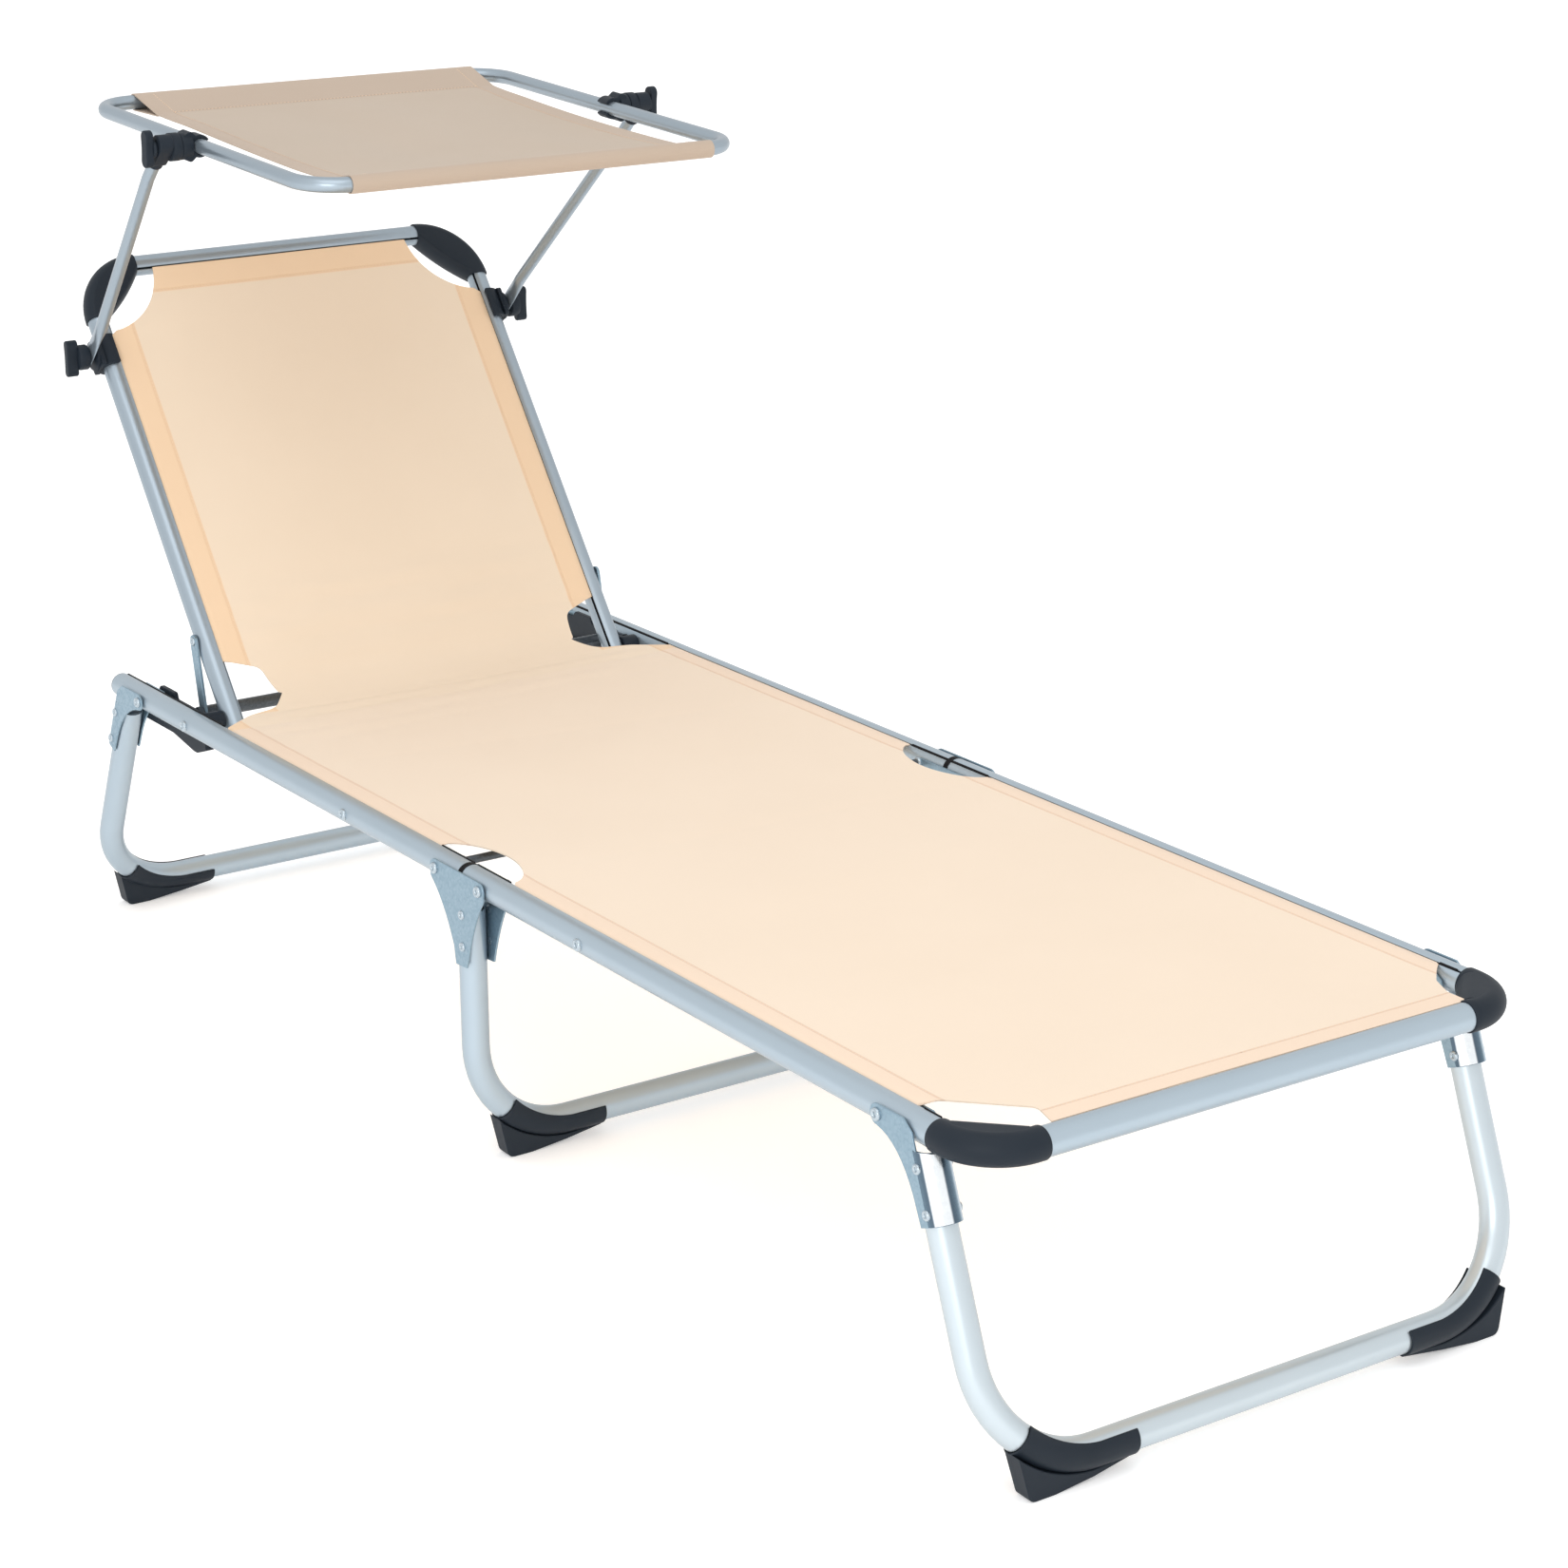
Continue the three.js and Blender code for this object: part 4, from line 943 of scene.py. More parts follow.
def bracket_back(leg, drop, side, way, shift):
    """The half-round sheet that wraps the leg, its top cut level at a drop below the rail's middle."""
    tilt = leg["tilt"]
    section = arc2(0, 0, PLATE_OUT, -90, 90, 24) + arc2(0, 0, PLATE_IN, 90, -90, 24)
    low, high = [], []
    for out, across in section:
        x, y = way * out + shift, side * HALF + across
        low.append(leaned(leg, x, y, WRAP_BOTTOM))
        high.append(leaned(leg, x, y, (-drop - x * math.sin(tilt)) / math.cos(tilt)))
    return skin([low, high])


def end_plate(leg, eye):
    """A plate of the foot or head leg: an eye round the rail's rivet, and a tongue down the leg."""
    tilt = leg["tilt"]
    px, pz = -leg["offset"] * math.cos(tilt), leg["offset"] * math.sin(tilt)
    up = 90 - math.degrees(tilt)
    right = WRAP_SHIFT + 0.5
    points = [(-6, WRAP_BOTTOM), (right, WRAP_BOTTOM), (right, -16), (8, -18), (8, -2.5)]
    points += [(0, eye / math.cos(tilt))] + arc2(px, pz, eye, up, up + 180)
    return points + curve_between(points[-1], (-11.5, -10.3), (-7.5, -52))[1:]


def mid_plate(eye):
    """A fold plate: an eye on each of the fold's two axes, and a tongue down the middle leg."""
    points = [(-5, -83.5), (15, -82)] + curve_between((15, -82), (28, -36), (48, -9))[1:]
    points += arc2(FOLD_AXIS, 0, eye, -20, 90) + arc2(-FOLD_AXIS, 0, eye, 90, 200)
    return points + curve_between((-48, -9), (-24, -28), (-8, -66))


def bracket(name, leg, side, node_name):
    def place(x, y, z):
        return leaned(leg, x, y, z)

    if leg["offset"]:
        plates = (end_plate(leg, OUTER_EYE), end_plate(leg, INNER_EYE))
        back = bracket_back(leg, WRAP_DROP, side, 1, WRAP_SHIFT)
    else:
        plates = (mid_plate(OUTER_EYE), mid_plate(MID_INNER_EYE))
        back = bracket_back(leg, MID_WRAP_DROP, side, -1, 0.0)
    outer = slab(plates[0], side * (HALF + PLATE_IN), side * (HALF + PLATE_OUT), place)
    inner = slab(plates[1], side * (HALF - PLATE_OUT), side * (HALF - PLATE_IN), place)
    plate_faces = len(outer.faces) + len(inner.faces)
    piece = riding(name, merged(outer, inner, back), ZINC, leg["body"], [node_name], 30)
    soften(piece, 0.5, 60)
    # The foot leg's wrap is bright plating with a painted reflection.
    if leg["body"] == "foot_leg":
        piece.data.materials.append(BRIGHT_ZINC_PAINTED_REFLECTION)
        for face in piece.data.polygons[plate_faces:]:
            face.material_index = 1


for name, leg in LEGS.items():
    for hand, side in SIDES:
        bracket(f"{name}_bracket_{hand}", leg, side, f"{name}_leg_bracket_{hand}")
print("brackets made: 6")


# %% [markdown]
# The backrest is a lighter slotted tube on each side, a top tube between two moulded
# corners, and it turns on a pivot between the rails. It is drawn lying flat along -X
# from its pivot and then turned up to its angle.

# %% Backrest tubes
PIVOT_X, BACK_ANGLE, BACK_LENGTH = -577, 53.1, 529.0
BACK_HALF, BACK_R, BACK_WALL, BACK_SLOT_OPEN = 234.0, 11.0, 1.5, 2.6
BACK_SLOT_ANGLE = math.radians(45)
BACK_TAIL, BACK_SHADE_STRIP_TAIL, BACK_SHADE_STRIP_R = -14, -10, 1.9
CORNER_S, CORNER_Y = 469.0, 174.0


def leaning(s, y, lift):
    """A place on the backrest: s up from the pivot, lift out of its face."""
    x, z = turn_y(-s, lift, -BACK_ANGLE)
    return (PIVOT_X + x, y, RAIL_Z + z)


def back_section(angle):
    return slotted(BACK_R, BACK_WALL, angle, BACK_SLOT_OPEN, 48)


back_up = Vector(leaning(0, 0, 1)) - Vector(leaning(0, 0, 0))
for hand, side in SIDES:
    path = [leaning(s, side * BACK_HALF, 0) for s in (BACK_TAIL, CORNER_S)]
    section = back_section(BACK_SLOT_ANGLE if side < 0 else math.pi - BACK_SLOT_ANGLE)
    nodes = [f"backrest_tube_{hand}"]
    tube(f"backrest_side_{hand}", path, section, back_up, SLIM_METAL, "backrest", nodes)
    # A black strip in the slot: painted shade for the empty slot where the cloth is cut away.
    reach = (BACK_R - BACK_WALL - 2.2) * math.sqrt(0.5)
    line = [leaning(s, side * (BACK_HALF - reach), reach) for s in (BACK_SHADE_STRIP_TAIL, CORNER_S - 4)]
    thread = circle(BACK_SHADE_STRIP_R, 10)
    tube(f"backrest_slot_insert_{hand}", line, thread, back_up, SLOT_BLACK, "backrest")

top_path = [leaning(BACK_LENGTH, way * (CORNER_Y + 0.3), 0) for way in (-1, 1)]
top_section = back_section(BACK_SLOT_ANGLE)
tube("backrest_top", top_path, top_section, back_up, SLIM_METAL, "backrest", ["backrest_top_tube"])
print("backrest tubes made: 3")


# %% Backrest corners
CAP_DEPTH, CAP_OUTER, CAP_INNER, CAP_FILL = 12.5, 72.5, 47.5, 0.42
CAP_ROUND, CAP_DRAW = 0.75, 9.3


def corner_outline(grow):
    """A D shape: the outer bend, and a flatter curve on the cloth's side."""
    outer, inner = CAP_OUTER + grow, CAP_INNER - grow
    points = arc2(CORNER_S, CORNER_Y, outer, 0, 90, 20) + [(CORNER_S, CORNER_Y + inner)]
    control = (CORNER_S + inner * CAP_FILL, CORNER_Y + inner * CAP_FILL)
    return points + curve_between(points[-1], control, (CORNER_S + inner, CORNER_Y))


def backrest_corner(hand, side):
    """A cap with an edge as round as the tubes it joins: one outline, drawn in toward its faces."""
    rings = []
    for k in range(17):
        angle = math.radians(-90 + 180 * k / 16)
        draw = min(CAP_DEPTH * (1 - math.cos(angle)) * CAP_ROUND, CAP_DRAW)
        lift = CAP_DEPTH * math.sin(angle)
        rings.append([leaning(s, side * y, lift) for s, y in corner_outline(-draw)])
    riding(f"backrest_cap_{hand}", skin(rings), BLACK, "backrest", [f"backrest_corner_{hand}"], 50)


for hand, side in SIDES:
    backrest_corner(hand, side)
print("backrest corners made: 2")


# %% [markdown]
# The canopy is a loop of thin tube held by clips at the top of two arms. Its fabric
# is a separate sheet, so the loop is one closed tube.

# %% Canopy loop and arms
CLAMP_S = 429.0
CLAMP = leaning(CLAMP_S, 0, 0)
ARM_LENGTH, ARM_ANGLE = 363.8, 44.2
ARM_RUN, ARM_RISE = turn_y(ARM_LENGTH, 0, ARM_ANGLE)
CLIP = (CLAMP[0] + ARM_RUN, 0, CLAMP[2] + ARM_RISE)
CANOPY_TILT, CANOPY_HALF, CANOPY_REACH, CANOPY_R, CANOPY_BEND = 2.8, 241.0, 250.0, 7.5, 45
# How far out of the tubes an arm's ends lie, and between which places it leans outward.
ARM_LOW_OUT, ARM_HIGH_OUT, ARM_LEAN_START, ARM_LEAN_END = 23, 38, 52, 315
# An arm's section at places along it: its half thickness and half width.
ARM_STOPS = (
    (-6, 2.0, 9.0), (0, 2.0, 9.0), (8, 2.0, 9.0), (20, 2.1, 8.9), (30, 3.0, 8.4), (40, 4.8, 7.4),
    (52, 6.5, 6.5), (190, 6.5, 6.5), (315, 6.5, 6.5), (325, 6.5, 6.5), (351, 6.5, 6.5),
)


def on_canopy(u, y, w):
    """A place on the canopy: u forward from the clips, w out of its plane."""
    x, z = turn_y(u, w, -CANOPY_TILT)
    return (CLIP[0] + x, y, CLIP[2] + z)


def along_arm(u, y, w):
    x, z = turn_y(u, w, ARM_ANGLE)
    return (CLAMP[0] + x, y, CLAMP[2] + z)


canopy_up = Vector(on_canopy(0, 0, 1)) - Vector(on_canopy(0, 0, 0))
loop_corners = [(0, -CANOPY_HALF, 0), (CANOPY_REACH, -CANOPY_HALF, 0), (CANOPY_REACH, CANOPY_HALF, 0),
                (-CANOPY_REACH, CANOPY_HALF, 0), (-CANOPY_REACH, -CANOPY_HALF, 0), (-1, -CANOPY_HALF, 0)]
loop = [on_canopy(*p) for p in bent(loop_corners, CANOPY_BEND, 14)]
loop_shape = carried(loop, circle(CANOPY_R, 32), canopy_up, closed=True)
riding("canopy_loop", loop_shape, SLIM_METAL, "canopy", ["canopy_frame"])


def arm_mesh(side):
    """The tube, pressed flat at its lower end where the clamp's pin goes through."""
    low, high = BACK_HALF + ARM_LOW_OUT, CANOPY_HALF + ARM_HIGH_OUT
    rings = []
    for u, thin, wide in ARM_STOPS:
        share = min(max((u - ARM_LEAN_START) / (ARM_LEAN_END - ARM_LEAN_START), 0), 1)
        y = low + (high - low) * share
        rings.append([along_arm(u, side * (y + thin * a), wide * b) for a, b in circle(1, 32)])
    return skin(rings)


for hand, side in SIDES:
    riding(f"canopy_strut_{hand}", arm_mesh(side), SLIM_METAL, "canopy_arms", [f"canopy_arm_{hand}"])
print("canopy loop and arms made")


# %% [markdown]
# The bed's cloth runs in one stretch from the top of the backrest, through the hinge
# bend and along the bed to the foot. Its edges are threaded into the slots of the
# tubes, and it is cut away where a corner, a fold or a hinge needs room. The cut is
# drawn flat, as half widths along the cloth, and then laid on the tubes.

# %% The line the cloth follows
CLOTH_THICK, CLOTH_LIP = 1.2, 1.8
SLOT_IN, SLOT_UP = RAIL_R * math.cos(SLOT_ANGLE), RAIL_R * math.sin(SLOT_ANGLE) - 0.4
BED_Z = RAIL_Z + SLOT_UP + CLOTH_THICK / 2
BACK_SLOT = BACK_R * math.sqrt(0.5)
# One arc of radius BEND joins the backrest's line to the bed's. The two lines meet at
# MEET_S up the backrest and MEET_X along the bed, and the arc starts BEND_RUN from there.
BEND = 75.0
BACK_TURN = math.radians(BACK_ANGLE)
BEND_RUN = BEND * math.tan(BACK_TURN / 2)
MEET_S = (BED_Z - RAIL_Z - BACK_SLOT * math.cos(BACK_TURN)) / math.sin(BACK_TURN)
MEET_X = leaning(MEET_S, 0, BACK_SLOT)[0]
BEND_X = MEET_X + BEND_RUN
BEND_S = MEET_S + BEND_RUN
BACK_SHIFT = BEND * BACK_TURN - BEND_X - BEND_S
MEET_V = BEND_X - BEND * BACK_TURN / 2


def on_back(s):
    """The place along the cloth, from the fold line, of a height up the backrest."""
    return -(s + BACK_SHIFT)


def on_cloth(v, y, lift):
    """Where a point of the flat cloth lies: v along it from the fold line, y across it."""
    if v >= BEND_X:
        return (v, y, BED_Z + lift)
    turn = (BEND_X - v) / BEND
    if turn < BACK_TURN:
        reach = BEND - lift
        return (BEND_X - reach * math.sin(turn), y, BED_Z + BEND - reach * math.cos(turn))
    return leaning(-v - BACK_SHIFT, y, BACK_SLOT + lift)


print("the cloth turns", round(BEND_S), "mm up the backrest and is flat from", round(BEND_X), "mm")


# %% The cut of the bed's cloth
SLOT_EDGE = HALF - SLOT_IN
BACK_EDGE = BACK_HALF - BACK_SLOT + CLOTH_LIP
BACK_END = BACK_LENGTH - BACK_SLOT
CORNER_CUT = 79.0
FOLD_REACH, FOLD_DEPTH = 66.0, 34.0
FOOT_END = FOOT_X - SLOT_IN
# A corner of the cut is its place along the cloth, the half width there, and a rounding.
HINGE_CUT = [
    (on_back(300), BACK_EDGE, 0), (on_back(60), BACK_EDGE, 3), (on_back(57), 217, 12),
    (on_back(46), 188, 14), (on_back(12), 181, 40), (MEET_V, 177, 20), (-546, 198, 30),
    (-538, 232, 40), (-511, SLOT_EDGE, 3), (-300, SLOT_EDGE, 0),
]
# The two foot corners differ on the real one: the left one is cut away less.
FOOT_CORNERS = {
    -1: [(678, SLOT_EDGE, 2), (681, 252, 8), (735, 199, 10), (FOOT_END, 207, 0)],
    1: [(686, SLOT_EDGE, 2), (698, 257, 10), (716, 239, 12), (740, 228, 8), (FOOT_END, 228, 0)],
}


def bed_cut(foot_corner):
    """Half widths along the cloth, from the backrest's top to the foot, on one side."""
    start = math.degrees(math.acos((BACK_LENGTH - BACK_END) / CORNER_CUT))
    end = math.degrees(math.asin((BACK_HALF - BACK_EDGE) / CORNER_CUT))
    corner = arc2(BACK_LENGTH, BACK_HALF, CORNER_CUT, 180 + start, 180 + end, 14)
    points = [(on_back(s), y) for s, y in corner] + rounded(HINGE_CUT)
    for k in range(-16, 17):
        # A bow at the fold: a cubic curve that leaves the edge softly on both sides.
        t = abs(k) / 16
        along = FOLD_REACH * (1.5 * (1 - t) ** 2 * t + 3 * (1 - t) * t ** 2 + t ** 3)
        depth = FOLD_DEPTH * ((1 - t) ** 3 + 3 * (1 - t) ** 2 * t + 1.5 * (1 - t) * t ** 2)
        points.append((math.copysign(along, k), SLOT_EDGE - depth))
    return points + rounded([(300, SLOT_EDGE, 0)] + foot_corner)


BED_CUTS = {side: bed_cut(corner) for side, corner in FOOT_CORNERS.items()}
CLOTH_START, CLOTH_END = BED_CUTS[-1][0][0], FOOT_END


def half_width(v, side):
    cut = BED_CUTS[side]
    return float(np.interp(v, [p[0] for p in cut], [p[1] for p in cut]))


def hem_distance(v, y):
    """How far flat points are from the hemmed, straight edges. A wider hem is scaled to the bed's."""
    on_bed = np.minimum(SLOT_EDGE - np.abs(y), FOOT_END - v)
    on_rest = np.minimum(BACK_EDGE - np.abs(y), BACK_END + v + BACK_SHIFT) * HEM / BACK_HEM
    return np.clip(np.where(v > BEND_X, on_bed, on_rest), 0.5, None)


print("cloth runs", round(CLOTH_START), "to", round(CLOTH_END), "mm from the fold")


# %% [markdown]
# Cloth that is stretched over bars is not quite flat. It sinks a few millimetres
# between the bars and gathers in soft waves by the hinge, where it is slack. These
# small heights are what makes the light on it look right.

# %% Sag and soft waves
SAG, BAR_HOLD, BAR_REACH, BACK_BELLY = 3.2, 1.8, 55, 2.2
FOOT_EASE, TOP_EASE = 130, 120
# Groups of waves by the hinge: the middle of each along the cloth, and its reach.
HINGE_WAVES = ((-500, 62), (-668, 46))
LONG_WAVE, SHORT_WAVE, WAVE_HEIGHT = 41, 27, 0.75
BOW, BOW_ACROSS, BOW_ALONG = 7, 74, 160
SLOW, SLOW_ACROSS, SLOW_ALONG = 0.5, 140, 87
# Each crease: its place along the cloth, its slant across, its half width and its depth.
CREASES = (
    (-532, 0.03, 6.0, 1.5), (on_back(70), 0.03, 8.0, 1.0), (-433, -0.06, 9.0, 0.8),
    (-312, 0.15, 11.0, 0.7), (52, 0.05, 10.0, 0.5),
)


def smooth(share):
    share = min(max(share, 0.0), 1.0)
    return share * share * (3 - 2 * share)


def bell(distance, reach):
    return math.exp(-(distance / reach) ** 2)


def sag_depth(v):
    """How deep the middle of the cloth hangs at a place along it."""
    if v > BEND_X:
        depth = SAG - BAR_HOLD * sum(bell(v - bar, BAR_REACH) for bar in (HEAD_BRACE_X, FOOT_BRACE_X))
        return depth * smooth((FOOT_END - v) / FOOT_EASE)
    from_top = BACK_END + v + BACK_SHIFT
    up = min(max(1 - from_top / BACK_END, 0), 1)
    return (SAG + BACK_BELLY * math.sin(math.pi * up)) * smooth(from_top / TOP_EASE)


def bed_lift(v, y):
    """How far the cloth stands off its straight line."""
    width = half_width(v, 1 if y > 0 else -1)
    share = min(abs(y) / width, 1.0)
    belly, inside = 1 - share ** 2, 1 - share ** 6
    bow = BOW * math.sin(y / BOW_ACROSS + v / BOW_ALONG)
    wave = math.sin(2 * math.pi * (v + bow) / LONG_WAVE)
    wave += 0.5 * math.sin(2 * math.pi * (v - 2 * bow) / SHORT_WAVE + 1.3)
    wave *= WAVE_HEIGHT * sum(bell(v - place, reach) for place, reach in HINGE_WAVES)
    slow = SLOW * math.sin(v / SLOW_ALONG + y / SLOW_ACROSS)
    crease = sum(depth * bell(v - place - slant * y, half) for place, slant, half, depth in CREASES)
    lift = (wave - crease) * inside + (slow - sag_depth(v)) * belly
    edge = SLOT_EDGE if v > BEND_X else BACK_EDGE
    if share > 0.99 and width > edge - 0.5:
        lift -= CLOTH_LIP * smooth((abs(y) - width + CLOTH_LIP) / CLOTH_LIP)
    return lift


deepest = max(sag_depth(v) for v in np.linspace(CLOTH_START, CLOTH_END, 99))
print("cloth hangs", round(deepest, 1), "mm at most")


# %% Cloth sheets
def cloth_rows(start, end, cut, step=5.0, least=1.0):
    """Places along the cloth for rows of points, closer together where the cut turns."""
    marks = sorted([start, end] + [p[0] for p in cut if start < p[0] < end])
    rows = [start]
    for mark in marks:
        while mark - rows[-1] > step:
            rows.append(rows[-1] + min(step, mark - rows[-1]))
        if mark - rows[-1] > least:
            rows.append(mark)
    if end - rows[-1] < 1e-6:
        return rows
    rows[-1] = end
    return rows


def cloth_mesh(name, rows, width_at, lift_at, place_at, distance_at, material, columns=76):
    """A sheet as rows of points, mapped in flat metres, with each point's distance from the cut."""
    bm = bmesh.new()
    flat = bm.loops.layers.uv.new("flat")
    shares = [k / (columns / 2) - 1 for k in range(columns + 1)]
    spots, grid = [], []
    for v in rows:
        right, left = width_at(v, -1), width_at(v, 1)
        inner = [((left if share > 0 else right) - CLOTH_LIP) * share for share in shares]
        across = [-right] + inner + [left]
        line = []
        for y in across:
            line.append(bm.verts.new(at(*place_at(v, y, lift_at(v, y)))))
            spots.append((v, y))
        grid.append(line)
    count = len(grid[0])
    for i in range(len(grid) - 1):
        for k in range(count - 1):
            face = bm.faces.new((grid[i][k], grid[i + 1][k], grid[i + 1][k + 1], grid[i][k + 1]))
            corners = (i * count + k, (i + 1) * count + k, (i + 1) * count + k + 1, i * count + k + 1)
            for loop, index in zip(face.loops, corners):
                loop[flat].uv = (spots[index][1] / 1000, spots[index][0] / 1000)
    bm.normal_update()
    if sum(face.normal.z * face.calc_area() for face in bm.faces) < 0:
        bmesh.ops.reverse_faces(bm, faces=bm.faces)
    for edge in bm.edges:
        edge.smooth = not edge.is_boundary
    mesh = bpy.data.meshes.new(name)
    bm.to_mesh(mesh)
    bm.free()
    spots = np.array(spots)
    edge = mesh.attributes.new("edge_distance", "FLOAT", "POINT")
    edge.data.foreach_set("value", distance_at(spots[:, 0], spots[:, 1]) / 1000)
    piece = shown(name, mesh)
    mesh.materials.append(material)
    thick = piece.modifiers.new("thickness", "SOLIDIFY")
    thick.thickness, thick.offset = CLOTH_THICK / 1000, 0
    return piece, flat_area(rows, width_at)


def flat_area(rows, width_at):
    """The cut sheet's area in square metres."""
    area = 0.0
    for a, b in zip(rows, rows[1:]):
        area += (b - a) * sum(width_at(v, side) for v in (a, b) for _, side in SIDES) / 2
    return area / 1e6


def bed_cloth(name, start, end, bodies, blend_from, blend_to, rests, node_name, material):
    """One stretch of the cloth, kept where it is drawn; bodies, blend_from and blend_to are not used."""
    rows = cloth_rows(start, end, BED_CUTS[-1] + BED_CUTS[1])
    piece, area = cloth_mesh(name, rows, half_width, bed_lift, on_cloth, hem_distance, material)
    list(bodies)
    at(*blend_from)
    at(*blend_to)
    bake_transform(piece)
    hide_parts(node_name)
    width = max(half_width(v, -1) + half_width(v, 1) for v in rows) / 1000
    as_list(rests)
    print(name, "flat", round(width, 3), "x", round((end - start) / 1000, 3), "m")


BLENDS = {
    "back": (("backrest", "head_section"), on_cloth(on_back(46), 0, 0), on_cloth(-532, 0, 0)),
    "mid": (("head_section", "mid_leg"), (-56, 0, BED_Z), (-24, 0, BED_Z)),
    "foot": (("mid_leg", "foot_section"), (24, 0, BED_Z), (56, 0, BED_Z)),
}
BACK_SPLIT = -500.0
SPANS = {"back": (CLOTH_START, BACK_SPLIT), "mid": (BACK_SPLIT, 0.0), "foot": (0.0, CLOTH_END)}
RESTS = {
    "back": ["backrest_side_right", "backrest_side_left", "head_side_rail_right", "head_side_rail_left"],
    "mid": ["head_side_rail_right", "head_side_rail_left"],
    "foot": ["foot_side_rail_right", "foot_side_rail_left", "foot_cross_tube"],
}
CLOTH_NODES = {"back": "backrest_fabric", "mid": "bed_fabric_head", "foot": "bed_fabric_foot"}
CLOTH_FINISHES = {"back": BACK_MATERIAL, "mid": CLOTH_MATERIAL, "foot": CLOTH_MATERIAL}
for part_name in SPANS:
    bodies, first, last = BLENDS[part_name]
    bed_cloth(f"{part_name}_cloth", *SPANS[part_name], bodies, first, last,
              RESTS[part_name], CLOTH_NODES[part_name], CLOTH_FINISHES[part_name])


# %% [markdown]
# The canopy's cloth is one sheet: it is sewn back on itself round the rear tube, sags
# between the tubes, and goes round the front tube to a second seam. Drawing it as one
# path from seam to seam gives the sleeves and the belly together. On the real one it has
# slipped a little to the left along its tubes, so it lies off the middle here too.

# %% Canopy cloth
CANOPY_SAG, CANOPY_SEAM, SEAM_DROP, LAYER_GAP = 3.5, 195.0, 4.5, 0.3
CANOPY_WIDE, CANOPY_WAIST = 204.0, 199.0
CANOPY_OFF, CANOPY_SKEW = 6.0, -4.8
CANOPY_WRAP = CANOPY_R + 0.2 + CLOTH_THICK / 2


def sleeve_line():
    """Round the front tube, from the seam's lower layer to its upper one: along, height."""
    run = CANOPY_REACH - CANOPY_SEAM
    ends = []
    for height, way in ((-SEAM_DROP - CLOTH_THICK - LAYER_GAP, -1), (-SEAM_DROP, 1)):
        toward = math.atan2(-height, run)
        lean = math.asin(CANOPY_WRAP / math.hypot(run, height))
        ends.append((height, way * (math.pi / 2 + lean) + toward))
    (low, first), (high, last) = ends
    turn = [first + (last - first) * k / 16 for k in range(17)]
    round_tube = [(CANOPY_REACH + CANOPY_WRAP * math.cos(a), CANOPY_WRAP * math.sin(a)) for a in turn]
    (ua, wa), (ub, wb) = round_tube[0], round_tube[-1]
    out = [(CANOPY_SEAM + (ua - CANOPY_SEAM) * k / 8, low + (wa - low) * k / 8) for k in range(8)]
    back = [(ub + (CANOPY_SEAM - ub) * k / 8, wb + (high - wb) * k / 8) for k in range(1, 9)]
    return out + round_tube + back


def canopy_line():
    """The path seen from the side: along, height, from the rear seam to the front seam."""
    front = sleeve_line()
    shares = [1 - k / 20 for k in range(1, 40)]
    web = [(CANOPY_SEAM * share, -SEAM_DROP - CANOPY_SAG * (1 - share ** 2)) for share in shares]
    rear = [(-u, w) for u, w in front]
    return (front + web + rear[::-1])[::-1]


CANOPY_LINE = canopy_line()
CANOPY_STEPS = [0.0]
for (ua, wa), (ub, wb) in zip(CANOPY_LINE, CANOPY_LINE[1:]):
    CANOPY_STEPS.append(CANOPY_STEPS[-1] + math.hypot(ub - ua, wb - wa))


def canopy_place(v, y, lift):
    u = float(np.interp(v, CANOPY_STEPS, [p[0] for p in CANOPY_LINE]))
    w = float(np.interp(v, CANOPY_STEPS, [p[1] for p in CANOPY_LINE]))
    return on_canopy(u, y + CANOPY_OFF + CANOPY_SKEW * u / CANOPY_REACH, w + lift)


def canopy_width(v, _side=0):
    """Half the canopy cloth's width, which is the same on both sides."""
    u = float(np.interp(v, CANOPY_STEPS, [p[0] for p in CANOPY_LINE]))
    return CANOPY_WAIST + (CANOPY_WIDE - CANOPY_WAIST) * min((u / CANOPY_REACH) ** 2, 1)


def canopy_lift(v, y):
    """Slack cloth: its side edges curl a little and long soft folds run between the sleeves."""
    middle = CANOPY_STEPS[-1] / 2
    near_web = smooth((CANOPY_SEAM - 10 - abs(v - middle)) / 70)
    fold = 1.3 * math.sin(y / 31 + 0.6 * math.sin(v / 120)) + 0.8 * math.sin(y / 17 + v / 210)
    return near_web * fold


def canopy_distance(v, y):
    middle = CANOPY_STEPS[-1] / 2
    widths = np.array([canopy_width(value) for value in v])
    side = widths - np.abs(y)
    seam = HEM * 1000 + CANOPY_SEAM - np.abs(v - middle)
    return np.clip(np.minimum(side, seam), 0.5, None)


def make_canopy_cloth():
    piece, area = cloth_mesh("canopy_cloth", CANOPY_STEPS, canopy_width, canopy_lift, canopy_place,
                             canopy_distance, CANOPY_MATERIAL, 60)
    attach(piece, "canopy")
    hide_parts("canopy_fabric")


make_canopy_cloth()


# %% [markdown]
# Turned and moulded parts: a profile spun round an axis that crosses the lounger, and
# outlines given a thickness across it. Both are drawn on the right side and repeated
# on the left.

# %% Spun parts
def spun(profile, place, side, sides=36):
    """profile is (reach across from the middle plane, radius); the axis runs across the lounger."""
    return skin([[place(x, side * reach, z) for x, z in circle(radius, sides)] for reach, radius in profile])


def soft_disc(low, high, radius, soft=0.8):
    """A profile of a disc whose outer rims are rounded."""
    rim = [(0, soft), (soft * 0.3, soft * 0.3), (soft, 0)]
    near_rim = [(low + inward, radius - less) for inward, less in rim]
    return near_rim + [(high - inward, radius - less) for inward, less in reversed(rim)]


def moulded(name, parts, body, nodes, material=BLACK, soft=0.6, sharp=40):
    soften(riding(name, merged(*parts), material, body, nodes, sharp), soft, 50)


print("a soft disc is spun from", len(soft_disc(0, 5, 10)), "rings")


# %% [markdown]
# A clamp on each backrest tube carries a canopy arm: an open ring that snaps round the
# tube, a flange, and a toothed disc that the arm's flattened end is pressed against.

